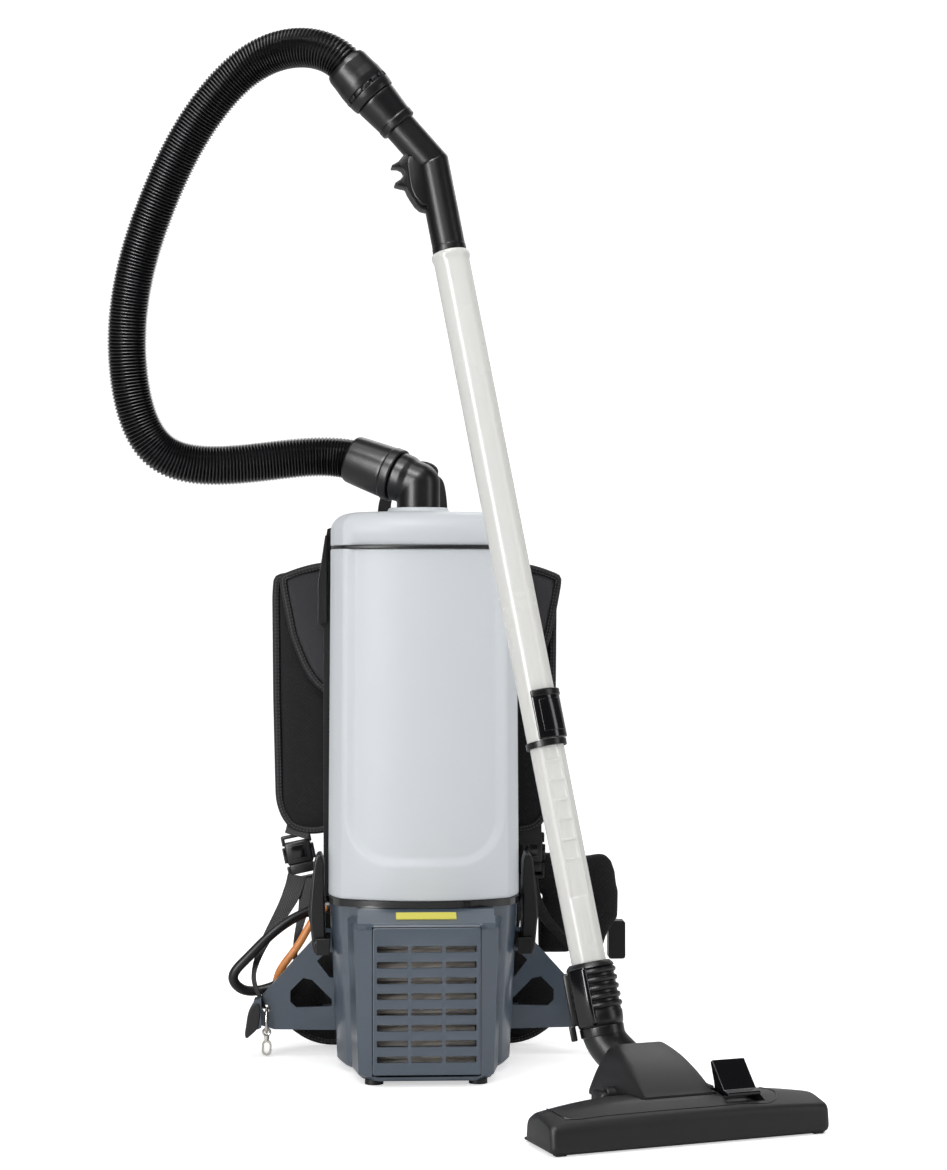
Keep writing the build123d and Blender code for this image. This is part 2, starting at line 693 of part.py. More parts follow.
def frame_screws():
    """Four button-head screws that hold the back plate to the base."""
    screws = []
    for side in (-1, 1):
        for z in PLATE_SCREW_Z:
            deep, seat, end = (Vector(side * PLATE_SCREW_X, PLATE_Y + step, z) for step in (0.2, 4.6, 6.6))
            screws.append(rod(seat, end, 5) + rod(deep, seat, 2.5))
    return screws


def hip_bracket():
    """Right-hand bracket: an open triangular plate with a turned lug at its tip."""
    outline = [(88, 27), (150, 28), (163, 32), (164, 61), (108, 122), (104, 130), (92.6, 130)]
    window = [(92, 51), (128, 50), (134, 56), (134, 67), (121, 80), (112, 78), (92, 58)]
    upper = [(80, 80), (94, 80), (107, 97), (98, 106), (80, 106)]
    edge = [(160, 60), (163.5, 61.5), (108, 122.5), (104, 119)]
    turned = [(163, 32), (168, 30), (177, 22), (175, 46), (170, 60), (163, 62)]
    plate = plate_xz(outline, BRACKET_Y, BRACKET_THICK)
    for opening in (window, upper):
        plate -= plate_xz(opening, BRACKET_Y - 5, 20)
    rib = plate_xz(edge, BRACKET_Y, BRACKET_THICK + 3)
    lug = plate_xz(turned, BRACKET_Y - 14, BRACKET_THICK + 14)
    web = block((97, 101), (BRACKET_Y + 3, PLATE_Y - 0.1), (28, 46))
    web += block((88, 101), (80, PLATE_Y - 0.1), (28, 46))
    web -= block((80, 89.5), (70, 90), (20, 50))
    hook_hole = rod(Vector(LUG_X, 20, LUG_Z), Vector(LUG_X, 70, LUG_Z), 4)
    return plate + rib + lug + web - hook_hole


def pad(points, y, thick, radius):
    return fillet(plate_xz(points, y, thick).edges().filter_by(Axis.Y), radius)


def lumbar_pad():
    half = [(112, 3), (152, 34), (147, 62), (98, 120), (95, 212)]
    points = half + [(-x, z) for x, z in reversed(half)]
    return pad(points, PAD_FRONT_Y - 0.5, 18, 12)


def yoke_pad():
    half = [(104, 501), (125, 496), (147, 488), (144, 470), (140, 452)]
    half += [(134, 424), (121, 392), (109, 375), (92, 364)]
    points = half + [(-x, z) for x, z in reversed(half)]
    return pad(points, PAD_FRONT_Y, 9, 4)


def shoulder_strap(side):
    outline = [(-38, 224), (-20, 221), (10, 223), (23, 245), (26, 487), (-36, 492)]
    return pad([(side * (STRAP_X[side] + x), z) for x, z in outline], PAD_FRONT_Y + 11, 12, 6)


def waist_wing_right():
    points = [(70, 199), (130, 201), (175, 197), (191, 200), (203, 189), (211, 158), (211, 130)]
    points += [(202, 116), (190, 84), (176, 90), (179, 150), (165, 152), (160, 90), (122, 90)]
    points += [(120, 134), (128, 156), (70, 155)]
    return pad(points, PAD_FRONT_Y + 20, 14, 3)


def waist_wing_left():
    return pad([(-96, 198), (60, 198), (60, 155), (-96, 155)], PAD_FRONT_Y + 20, 14, 8)


def ribbon(points, width, thick):
    """Webbing that follows a smooth line through the given points."""
    path = Spline(*points)
    plane = Plane(origin=path @ 0, z_dir=path % 0)
    return sweep(plane * Rectangle(width, thick), path=path)


def buckle(side):
    """Side-release buckle: socket above, prongs below."""
    tilt = Pos(side * STRAP_X[side], 111, 197) * Rot(0, BUCKLE_TILT[side], 0)
    socket = fillet(Box(30, 9, 24).edges().filter_by(Axis.Y), 3)
    socket -= Box(24, 5, 30)
    prong = Pos(0, 0, -20) * fillet(Box(30, 8, 14).edges().filter_by(Axis.Y), 3)
    prong += Pos(0, 0, -8) * Box(20, 4, 20)
    return tilt * socket, tilt * prong


def strap_tail(side):
    """Webbing from the prong half down to the hip bracket."""
    if side < 0:
        points = [Vector(-133, 108, 166), Vector(-149, 88, 134)]
    else:
        points = [Vector(114, 108, 166), Vector(124, 90, 136)]
    points += [Vector(side * 171, 60, 100), Vector(side * 172, 44, 68)]
    return ribbon(points, WEBBING_WIDTH, WEBBING_THICK)


def belt_switch():
    housing = fillet(block((199, 217), (132, 150), (84, 124)).edges().filter_by(Axis.Y), 3)
    housing -= block((203.8, 212.2), (144, 151), (93.4, 114.6))
    rocker = block((204, 212), (145, 152), (94, 114))
    return housing, rocker


def carry_handle():
    arch = ((-38, 530), (-35, 572), (-10, 600), (16, 596), (22, 530))
    path = Spline(*[Vector(x, PLATE_Y + 10.2, z) for x, z in arch])
    return sweep(Plane(origin=path @ 0, x_dir=(1, 0, 0), z_dir=path % 0) * Rectangle(13, 5), path=path)


def cable(points, radius):
    path = Spline(*points)
    return sweep(Plane(origin=path @ 0, z_dir=path % 0) * Circle(radius), path=path)


def power_cord():
    points = [Vector(-105, 61, 147), Vector(-127, 62, 110), Vector(-146, 68, 82), Vector(-150, 74, 68)]
    return cable(points, ORANGE_CORD_R)


def cord_loop():
    points = [Vector(-102, 77, 147), Vector(-124, 68, 141), Vector(-155, 52, 122), Vector(-180, 46, 98)]
    points += [Vector(-192, 48, 80), Vector(-184, 54, 68), Vector(-163, 59, 66), Vector(-142, 58, 74)]
    points += [Vector(-116, 62, 88)]
    return cable(points, BLACK_CORD_R)


def cord_socket():
    return rod(Vector(-150, 76, 65), Vector(-150, 77, 40), 8)


def strain_reliefs():
    orange = rod(Vector(-94.5, 62, 152), Vector(-98.6, 62, 152), ORANGE_CORD_R + 3)
    black = rod(Vector(-94.5, 77, 147), Vector(-98.6, 77, 147), BLACK_CORD_R + 1.5)
    return [orange, black]


# ---------------------------------------------------------------- cord hook
def torus_at(centre, normal, ring, wire):
    return along(centre, normal) * Torus(ring, wire)


def hook_ring():
    return torus_at(Vector(-LUG_X, BRACKET_Y + 2, LUG_Z - 12), Vector(1, 0, 0), 12, 1.5)


def hook_eye():
    eye = torus_at(Vector(-LUG_X, BRACKET_Y + 2, 25), Vector(0, 1, 0), 3.5, 1.2)
    return eye + rod(Vector(-LUG_X, BRACKET_Y + 2, 18), Vector(-LUG_X, BRACKET_Y + 2, 21.6), 2.6)


def snap_hook():
    centre = Pos(-LUG_X, BRACKET_Y + 2, 9.2)
    section = SlotOverall(16, 10, rotation=90) - SlotOverall(11, 5, rotation=90)
    loop = extrude(Plane.XZ * section, amount=1.5, both=True)
    loop -= Pos(5, 0, 1) * Box(5, 8, 5)
    stem = rod(Vector(-LUG_X, BRACKET_Y + 2, 16.5), Vector(-LUG_X, BRACKET_Y + 2, 17.8), 2.2)
    return centre * loop + stem


def snap_gate():
    return Pos(-LUG_X + 3.9, BRACKET_Y + 2, 10.3) * Box(1.9, 2.4, 4.4)


# ---------------------------------------------------------------- write the nodes
def build():
    os.makedirs("parts", exist_ok=True)
    switch_housing, switch_rocker = belt_switch()
    nodes = {
        "motor_housing": motor_housing(),
        "exhaust_cover": exhaust_cover(),
        "exhaust_filter": exhaust_filter(),
        "filter_frame": filter_frame(),
        "label_plate": label_plate(),
        "foot_pads": foot_pads(),
        "motor_stator": motor_stator(),
        "motor_rotor": motor_rotor(),
        "motor_bearings": motor_bearings(),
        "fan_shroud": fan_shroud(),
        "motor_mounts": motor_mounts(),
        "rim_gasket": gasket_ring(DECK_Z + 0.2, RIM_Z - 0.2, 2, 8),
        "canister": canister(),
        "lid_gasket": gasket_ring(SEAM_Z + 0.1, LID_Z - 0.1, -3, 6.5),
        "lid": lid(),
        "dust_bag": dust_bag(),
        "bag_collar": bag_collar(),
        "pre_motor_filter": pre_motor_filter(),
        "elbow": elbow(),
        "hose_cuff_lower": hose_cuff_lower(),
        "hose": hose(),
        "hose_cuff_upper": swivel_collar(),
        "handle_pipe": handle_pipe(),
        "air_slider": air_slider(),
        "outer_tube": outer_tube(),
        "tube_end_ring": tube_end_ring(),
        "release_housing": release_housing(),
        "release_button": release_button(),
        "inner_tube": inner_tube(),
        "tube_collar": tube_collar(),
        "parking_clip": parking_clip(),
        "nozzle_neck": nozzle_neck(),
        "nozzle_knuckle": nozzle_knuckle(),
        "nozzle_axles": [nozzle_axle(), wheel_axle(), pedal_pin()],
        "nozzle_head": nozzle_head(),
        "sole_plate": sole_plate(),
        "brush_strips": brush_strips(),
        "nozzle_wheels": nozzle_wheels(),
        "nozzle_pedal": nozzle_pedal(),
        "back_plate": back_plate(),
        "frame_screws": frame_screws(),
        "hip_brackets": [hip_bracket(), mirrored(hip_bracket())],
        "lumbar_pad": lumbar_pad(),
        "yoke_pad": yoke_pad(),
        "shoulder_straps": [shoulder_strap(-1), shoulder_strap(1)],
        "strap_buckle_sockets": [buckle(-1)[0], buckle(1)[0]],
        "strap_buckle_prongs": [buckle(-1)[1], buckle(1)[1]],
        "strap_tails": [strap_tail(-1), strap_tail(1)],
        "waist_wings": [waist_wing_left(), waist_wing_right()],
        "switch_housing": switch_housing,
        "switch_rocker": switch_rocker,
        "carry_handle": carry_handle(),
        "power_cord": power_cord(),
        "cord_loop": [cord_loop(), cord_socket(), *strain_reliefs()],
        "hook_rings": [hook_ring(), hook_eye()],
        "snap_hook": snap_hook(),
        "snap_gate": snap_gate(),
        "latch_left": latch(-1),
        "latch_right": latch(1),
        "latch_pivots": [latch_pivot(-1), latch_pivot(1)],
    }
    for name, shape in nodes.items():
        write(name, shape)


build()
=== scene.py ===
import json
import math

import bmesh
import bpy
import numpy as np
from mathutils import Matrix, Vector


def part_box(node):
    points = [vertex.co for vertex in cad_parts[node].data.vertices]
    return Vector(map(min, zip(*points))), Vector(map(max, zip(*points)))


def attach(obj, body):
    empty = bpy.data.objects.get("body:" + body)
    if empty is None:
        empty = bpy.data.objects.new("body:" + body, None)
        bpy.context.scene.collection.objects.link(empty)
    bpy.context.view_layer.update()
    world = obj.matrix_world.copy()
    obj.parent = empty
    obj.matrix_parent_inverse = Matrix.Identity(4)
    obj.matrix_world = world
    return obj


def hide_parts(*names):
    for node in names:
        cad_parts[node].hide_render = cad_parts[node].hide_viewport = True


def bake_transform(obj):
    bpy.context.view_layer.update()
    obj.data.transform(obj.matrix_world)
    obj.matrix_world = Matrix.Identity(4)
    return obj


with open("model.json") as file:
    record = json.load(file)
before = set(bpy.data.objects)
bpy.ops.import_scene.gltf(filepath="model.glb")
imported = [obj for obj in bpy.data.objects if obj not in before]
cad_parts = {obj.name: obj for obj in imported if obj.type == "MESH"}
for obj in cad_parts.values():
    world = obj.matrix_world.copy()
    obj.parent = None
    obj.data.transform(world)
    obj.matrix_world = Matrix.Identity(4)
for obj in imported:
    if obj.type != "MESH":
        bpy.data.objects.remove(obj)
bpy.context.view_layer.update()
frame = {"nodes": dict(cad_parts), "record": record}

MM = 0.001
UP = Vector((0, 0, 1))
JOINTS = {joint["name"]: joint for joint in frame["record"]["behaviour"]["joints"]}
SCENE = bpy.context.scene


# ---------------------------------------------------------------- materials
def add_node(tree, kind, **values):
    """New shader node; each value sets an input of that name, or else a property."""
    made = tree.nodes.new(kind)
    for key, value in values.items():
        if key in made.inputs:
            made.inputs[key].default_value = value
        else:
            setattr(made, key, value)
    return made


def math_node(tree, operation, first, second=None):
    """Output of a math node on two numbers or sockets."""
    made = add_node(tree, "ShaderNodeMath", operation=operation)
    for index, value in enumerate((first, second)):
        if isinstance(value, (int, float)):
            made.inputs[index].default_value = value
        elif value is not None:
            tree.links.new(value, made.inputs[index])
    return made.outputs[0]


def average(tree, first, second):
    return math_node(tree, "MULTIPLY", math_node(tree, "ADD", first, second), 0.5)


def mixed_colour(tree, factor, first, second):
    """Colour between two others; each is a socket or three numbers."""
    made = add_node(tree, "ShaderNodeMix", data_type="RGBA")
    tree.links.new(factor, made.inputs[0])
    for index, value in ((6, first), (7, second)):
        if isinstance(value, (list, tuple)):
            made.inputs[index].default_value = (*value, 1)
        else:
            tree.links.new(value, made.inputs[index])
    return made.outputs[2]


def weave_height(tree, coords, pitch, axes):
    """Over-and-under height of two crossed sets of threads, pitch in mm, along two coordinates."""
    split = add_node(tree, "ShaderNodeSeparateXYZ")
    tree.links.new(coords, split.inputs[0])
    waves = [math_node(tree, "SINE", math_node(tree, "MULTIPLY", split.outputs[axis], math.pi / (pitch * MM)))
             for axis in axes]
    crossed = math_node(tree, "MULTIPLY", *waves)
    return math_node(tree, "ADD", math_node(tree, "MULTIPLY", crossed, 0.5), 0.5)


def material(name, color, rough, metal=0.0, grain=900.0, bump=0.12, mottle=0.06, coat=0.0, sheen=0.0,
             weave=None, axes=("X", "Z"), use_uv=False, wear=0.0, depth=0.0002, specular=0.5):
    """Procedural surface: colour mottling, roughness variation, grain or weave relief and edge wear."""
    made = bpy.data.materials.new(name)
    made.use_nodes = True
    made.diffuse_color = (*color, 1)
    tree = made.node_tree
    shader = tree.nodes["Principled BSDF"]
    coords = add_node(tree, "ShaderNodeTexCoord").outputs["UV" if use_uv else "Object"]
    broad = add_node(tree, "ShaderNodeTexNoise", Scale=14.0, Detail=4.0, Roughness=0.6)
    fine = add_node(tree, "ShaderNodeTexNoise", Scale=grain, Detail=3.0, Roughness=0.65)
    for noise in (broad, fine):
        tree.links.new(coords, noise.inputs["Vector"])
    height = fine.outputs[0]
    spots = average(tree, broad.outputs[0], height)
    if weave:
        threads = weave_height(tree, coords, weave, axes)
        height = math_node(tree, "ADD", math_node(tree, "MULTIPLY", threads, 0.8),
                           math_node(tree, "MULTIPLY", height, 0.35))
        spots = average(tree, spots, threads)
    swing = 2.2 * mottle
    dark = [channel * (1 - swing) for channel in color]
    light = [min(1.0, channel * (1 + swing)) for channel in color]
    colour = mixed_colour(tree, spots, dark, light)
    if wear:
        edge = add_node(tree, "ShaderNodeMapRange", **{"From Min": 0.53, "From Max": 0.62})
        tree.links.new(add_node(tree, "ShaderNodeNewGeometry").outputs["Pointiness"], edge.inputs["Value"])
        rubbed = math_node(tree, "MULTIPLY", edge.outputs[0], broad.outputs[0])
        colour = mixed_colour(tree, rubbed, colour, [min(1.0, channel + wear) for channel in color])
    tree.links.new(colour, shader.inputs["Base Color"])
    spread = add_node(tree, "ShaderNodeMapRange",
                      **{"To Min": max(0.03, rough - 0.07), "To Max": min(1.0, rough + 0.07)})
    tree.links.new(broad.outputs[0], spread.inputs["Value"])
    tree.links.new(spread.outputs[0], shader.inputs["Roughness"])
    relief = add_node(tree, "ShaderNodeBump", Strength=bump, Distance=depth)
    tree.links.new(height, relief.inputs["Height"])
    tree.links.new(relief.outputs[0], shader.inputs["Normal"])
    for key, value in (("Metallic", metal), ("Specular IOR Level", specular), ("Coat Weight", coat),
                       ("Coat Roughness", 0.12), ("Sheen Weight", sheen)):
        shader.inputs[key].default_value = value
    return made


SHELL = material("shell_paint", (0.635, 0.665, 0.695), 0.44, grain=700, bump=0.05, mottle=0.006,
                 specular=0.26)
SLATE = material("slate_plastic", (0.066, 0.088, 0.118), 0.30, grain=1300, bump=0.14, mottle=0.05, wear=0.05,
                 coat=0.35)
BLACK = material("black_plastic", (0.0040, 0.0040, 0.0050), 0.32, grain=1000, bump=0.45, mottle=0.10,
                 wear=0.012, specular=0.42)
GRAINED = material("grained_plastic", (0.0070, 0.0070, 0.0080), 0.46, grain=1000, bump=0.5, mottle=0.12,
                   wear=0.012, specular=0.40)
GLOSSY = material("gloss_black", (0.0035, 0.0035, 0.0045), 0.14, grain=900, bump=0.05, mottle=0.08)
HOSE = material("hose_plastic", (0.0035, 0.0035, 0.0042), 0.24, grain=800, bump=0.10, mottle=0.10)
RUBBER = material("black_rubber", (0.006, 0.006, 0.007), 0.42, grain=1000, bump=0.20, mottle=0.10,
                  specular=0.4)
WHITE = material("white_tube", (0.71, 0.71, 0.685), 0.26, grain=500, bump=0.03, mottle=0.008, coat=0.08,
                 specular=0.28)
PAD = material("pad_mesh", (0.0050, 0.0050, 0.0062), 0.88, grain=900, bump=0.9, mottle=0.25, sheen=0.06,
               weave=2.2, depth=0.0006, specular=0.3)
# Yoke felt: its own dark grey felt, partly painted light: lightened well above the strap pads to stand for the
# light that falls on the yoke.
FELT_AND_PAINTED_LIGHT = material("yoke_felt_painted_lit", (0.040, 0.038, 0.043), 0.95, grain=800, bump=0.9, mottle=0.24, sheen=0.18,
                weave=1.2, depth=0.0005, specular=0.3)
BINDING = material("binding_tape", (0.0075, 0.0068, 0.0066), 0.62, grain=1300, bump=0.6, mottle=0.16,
                   sheen=0.05, weave=1.0, depth=0.0003, specular=0.35)
WEBBING = material("webbing", (0.0050, 0.0050, 0.0060), 0.55, grain=1500, bump=0.9, mottle=0.16, sheen=0.05,
                   weave=1.6, axes=("X", "Y"), use_uv=True, depth=0.0005, specular=0.4)
THREAD = material("stitch_thread", (0.050, 0.050, 0.055), 0.65, grain=2500, bump=0.5, mottle=0.10)
PAPER = material("filter_paper", (0.62, 0.58, 0.54), 0.90, grain=1500, bump=0.5, mottle=0.10)
BAG = material("bag_paper", (0.72, 0.68, 0.60), 0.92, bump=0.4, mottle=0.05)
BOARD = material("collar_board", (0.48, 0.38, 0.26), 0.90, grain=600, bump=0.3, mottle=0.10)
LABEL = material("yellow_label", (0.72, 0.66, 0.09), 0.45, grain=700, bump=0.05, mottle=0.03)
ORANGE = material("orange_cord", (0.83, 0.30, 0.075), 0.42, grain=800, bump=0.10, mottle=0.04)
STEEL = material("brushed_steel", (0.50, 0.50, 0.51), 0.32, metal=1.0, grain=1500, bump=0.15, mottle=0.05)
DARK_STEEL = material("dark_steel", (0.045, 0.045, 0.047), 0.50, metal=1.0, grain=1500, bump=0.15,
                      mottle=0.08)
NICKEL = material("nickel", (0.66, 0.63, 0.58), 0.20, metal=1.0, bump=0.10, mottle=0.08)
ALLOY = material("motor_alloy", (0.55, 0.55, 0.57), 0.42, metal=0.9, bump=0.20, mottle=0.05)
BRISTLE = material("bristles", (0.018, 0.018, 0.018), 0.80, grain=2500, bump=1.0, mottle=0.20)

# The CAD nodes that keep their own shape, with their surface and the width of their soft edges in mm.
NODE_LOOKS = {
    "motor_housing": (SLATE, 2.0), "exhaust_cover": (SLATE, 0.5), "hip_brackets": (SLATE, 0.8),
    "exhaust_filter": (PAPER, 0.0), "pre_motor_filter": (PAPER, 0.8), "filter_frame": (BLACK, 0.5),
    "label_plate": (LABEL, 0.2), "foot_pads": (RUBBER, 0.8), "latch_pivots": (BLACK, 0.8),
    "motor_stator": (ALLOY, 0.5), "motor_rotor": (ALLOY, 0.3), "motor_bearings": (STEEL, 0.3),
    "fan_shroud": (BLACK, 0.5), "motor_mounts": (RUBBER, 1.0), "rim_gasket": (GLOSSY, 3.0),
    "lid_gasket": (RUBBER, 0.6), "bag_collar": (BOARD, 0.3), "back_plate": (BLACK, 1.5),
    "frame_screws": (STEEL, 0.4), "tube_end_ring": (BLACK, 0.4), "nozzle_axles": (STEEL, 0.3),
    "sole_plate": (DARK_STEEL, 0.4), "brush_strips": (BRISTLE, 0.0), "nozzle_wheels": (RUBBER, 0.4),
    "nozzle_pedal": (GLOSSY, 0.9), "switch_housing": (BLACK, 1.0), "switch_rocker": (GLOSSY, 0.8),
    "hook_rings": (NICKEL, 0.2), "snap_hook": (NICKEL, 0.4), "snap_gate": (NICKEL, 0.3),
}


def add_bevel(obj, width_mm, angle):
    """Rounded edges, as a modifier, where the surface turns by more than the angle in degrees."""
    bevel = obj.modifiers.new("bevel", "BEVEL")
    bevel.width = width_mm * MM
    bevel.segments = 3
    bevel.limit_method = "ANGLE"
    bevel.angle_limit = math.radians(angle)
    bevel.harden_normals = True


def finish_node(name, look, bevel_mm):
    """A hard CAD node keeps its shape and gets soft edges and its own surface."""
    obj = frame["nodes"][name]
    mesh = obj.data
    mesh.materials.clear()
    mesh.materials.append(look)
    shade_smooth(mesh)
    if "custom_normal" in mesh.attributes:
        mesh.attributes.remove(mesh.attributes["custom_normal"])
    obj.modifiers.new("weld", "WELD").merge_threshold = 0.02 * MM
    if bevel_mm:
        add_bevel(obj, bevel_mm, 34)
    normals = obj.modifiers.new("normals", "WEIGHTED_NORMAL")
    normals.keep_sharp = True
    normals.weight = 60


# ---------------------------------------------------------------- mesh helpers
def shade_smooth(mesh):
    mesh.polygons.foreach_set("use_smooth", [True] * len(mesh.polygons))


def place_mesh(name, mesh, look):
    """Smooth-shaded object in the scene from a finished mesh."""
    shade_smooth(mesh)
    mesh.materials.append(look)
    piece = bpy.data.objects.new(name, mesh)
    SCENE.collection.objects.link(piece)
    return piece


def place_bmesh(name, work, look):
    mesh = bpy.data.meshes.new(name)
    work.to_mesh(mesh)
    work.free()
    return place_mesh(name, mesh, look)


def new_piece(name, verts, faces, look, body=None, uvs=None):
    mesh = bpy.data.meshes.new(name)
    mesh.from_pydata([tuple(vert) for vert in verts], [], faces)
    mesh.validate()
    if uvs is not None:
        layer = mesh.uv_layers.new(name="weave")
        for loop in mesh.loops:
            layer.data[loop.index].uv = uvs[loop.vertex_index]
    piece = place_mesh(name, mesh, look)
    if body:
        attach(piece, body)
    return piece


def stands_for(piece, slot, *nodes):
    """Hides the CAD nodes that the piece stands for; the slot is not used."""
    if nodes:
        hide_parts(*nodes)


def sharpen(piece, angle=38):
    """Normals face outward, and edges sharper than the angle stay crisp under smooth shading."""
    work = bmesh.new()
    work.from_mesh(piece.data)
    bmesh.ops.recalc_face_normals(work, faces=work.faces)
    for edge in work.edges:
        edge.smooth = not (len(edge.link_faces) == 2 and edge.calc_face_angle(0.0) > math.radians(angle))
    work.to_mesh(piece.data)
    work.free()


def grid_faces(rows, columns, wrap=False):
    """Quads between successive closed rings; wrap also joins the last ring to the first."""
    faces = []
    for row in range(rows if wrap else rows - 1):
        here, there = row * columns, (row + 1) % rows * columns
        for column in range(columns):
            after = (column + 1) % columns
            faces.append([here + column, here + after, there + after, there + column])
    return faces


def end_caps(rows, columns):
    """The two faces that close a stack of rings."""
    return [list(range(columns))[::-1], list(range((rows - 1) * columns, rows * columns))]


def loft(name, rings, look, body=None, wrap=False, crisp=38):
    """Skin over closed rings of points; wrap closes it like a tube, or else both ends get a face."""
    verts = [point for ring in rings for point in ring]
    rows, columns = len(rings), len(rings[0])
    faces = grid_faces(rows, columns, wrap)
    if not wrap:
        faces += end_caps(rows, columns)
    piece = new_piece(name, verts, faces, look, body)
    sharpen(piece, crisp)
    return piece


def basis(direction):
    """Two unit vectors across a direction."""
    direction = Vector(direction).normalized()
    side = UP.cross(direction)
    if side.length < 0.05:
        side = Vector((1, 0, 0)).cross(direction)
    side.normalize()
    return side, direction.cross(side).normalized()


def circle(centre, side, up, radius, segments):
    """Ring of points round a centre, from two unit vectors and a radius in mm."""
    turns = [2 * math.pi * step / segments for step in range(segments)]
    return [centre + (side * math.cos(turn) + up * math.sin(turn)) * (radius * MM) for turn in turns]


def lathe(name, start, axis, profile, look, body=None, segments=80):
    """Turned piece from a closed profile of (distance along, radius) pairs in mm."""
    axis = Vector(axis).normalized()
    rings = [circle(start + axis * (along * MM), *basis(axis), radius, segments) for along, radius in profile]
    return loft(name, rings, look, body, wrap=True)


def across_to(hint, axis):
    """Unit vector nearest to the hint among those at a right angle to the axis."""
    hint = Vector(hint)
    return (hint - axis * hint.dot(axis)).normalized()


def round_profile(points, radius, steps=4, share=0.45, closed=True):
    """Outline with rounded corners, each cut back by at most the radius and a share of its sides."""
    rounded = []
    for index, point in enumerate(points):
        here = Vector(point)
        if not closed and index in (0, len(points) - 1):
            rounded.append(tuple(here))
            continue
        before = Vector(points[index - 1])
        after = Vector(points[(index + 1) % len(points)])
        cut = min(radius, (here - before).length * share, (after - here).length * share)
        first = here + (before - here).normalized() * cut
        last = here + (after - here).normalized() * cut
        for step in range(steps + 1):
            t = step / steps
            rounded.append(tuple(first * (1 - t) ** 2 + here * 2 * t * (1 - t) + last * t ** 2))
    return rounded


def run_length(line):
    """Distance travelled at each point of a polyline."""
    return np.concatenate([[0], np.cumsum(np.linalg.norm(np.diff(line, axis=0), axis=1))])


def resampled(line, count, with_last=True):
    """Evenly spaced points along a polyline, as the rows of an array."""
    line = np.array(line, float)
    run = run_length(line)
    even = np.linspace(0, run[-1], count, endpoint=with_last)
    return np.stack([np.interp(even, run, column) for column in line.T], axis=1)


def outline_path(points, spacing=4.0, closed=True, corner=10.0):
    """Evenly spaced points round an outline in mm, with rounded corners."""
    rounded = round_profile(points, corner, 6, 0.48, closed)
    if closed:
        rounded.append(rounded[0])
    count = max(8, int(run_length(np.array(rounded))[-1] / spacing)) + 1
    return [tuple(point) for point in resampled(rounded, count).tolist()]


def spline(points, start_dir=None, end_dir=None):
    """Cubic spline through the points, with optional end directions, as a fine polyline."""
    points = np.array([list(point) for point in points], float)
    chord = run_length(points)
    size = len(points)
    system = np.zeros((size, size))
    right = np.zeros((size, 3))
    for i in range(1, size - 1):
        left, here = chord[i] - chord[i - 1], chord[i + 1] - chord[i]
        system[i, i - 1:i + 2] = here, 2 * (left + here), left
        right[i] = 3 * (here * (points[i] - points[i - 1]) / left + left * (points[i + 1] - points[i]) / here)
    for row, near, direction in ((0, 1, start_dir), (size - 1, size - 2, end_dir)):
        if direction is not None:
            system[row, row] = 1
            right[row] = Vector(direction).normalized()
        else:
            system[row, row], system[row, near] = 2, 1
            right[row] = 3 * (points[near] - points[row]) / (chord[near] - chord[row])
    slopes = np.linalg.solve(system, right)
    fine = []
    for i in range(size - 1):
        width = chord[i + 1] - chord[i]
        for t in np.linspace(0, 1, 60, endpoint=(i == size - 2)):
            fine.append((2 * t ** 3 - 3 * t ** 2 + 1) * points[i] + (t ** 3 - 2 * t ** 2 + t) * width * slopes[i]
                        + (3 * t ** 2 - 2 * t ** 3) * points[i + 1] + (t ** 3 - t ** 2) * width * slopes[i + 1])
    return np.array(fine)


def smooth_path(points, count, start_dir=None):
    """Evenly spaced points on the spline through the given points."""
    return [Vector(point) for point in resampled(spline(points, start_dir), count)]


def metres(points):
    """Points given in mm, as vectors in metres."""
    return [Vector(point) * MM for point in points]


def heading(path, index):
    """Unit vector along a path at one of its points."""
    return (path[min(index + 1, len(path) - 1)] - path[max(index - 1, 0)]).normalized()


def pipe(name, path, radius, look, body=None, segments=40):
    """Round piece along a path; radius is a number in mm or a function of the point's index."""
    side = basis(path[1] - path[0])[0]
    rings = []
    for index, point in enumerate(path):
        ahead = heading(path, index)
        side = across_to(side, ahead)
        reach = radius(index) if callable(radius) else radius
        rings.append(circle(point, side, ahead.cross(side).normalized(), reach, segments))
    return loft(name, rings, look, body, crisp=50)


# Section of a webbing strap: half widths across and half thicknesses out of it.
WEB_SECTION = [(-1, -0.5), (-0.96, 0.5), (-0.5, 0.62), (0, 0.66), (0.5, 0.62), (0.96, 0.5), (1, -0.5),
               (0.96, -0.9), (0, -1.0), (-0.96, -0.9)]


def ribbon(name, path, width, look, thick=2.0, across=(1, 0, 0)):
    """Flat webbing along a path; width in mm and the direction across may be functions from 0 to 1."""
    verts, uvs = [], []
    travelled = 0.0
    for index, point in enumerate(path):
        t = index / (len(path) - 1)
        ahead = heading(path, index)
        wide = across_to(across(t) if callable(across) else across, ahead)
        normal = ahead.cross(wide).normalized()
        half = (width(t) if callable(width) else width) * MM / 2
        if index:
            travelled += (point - path[index - 1]).length
        for u, w in WEB_SECTION:
            verts.append(point + wide * (half * u) + normal * (thick * MM * 0.5 * w))
            uvs.append((half * u, travelled))
    count = len(WEB_SECTION)
    faces = grid_faces(len(path), count) + end_caps(len(path), count)
    piece = new_piece(name, verts, faces, look, "body", uvs)
    sharpen(piece, 60)
    return piece


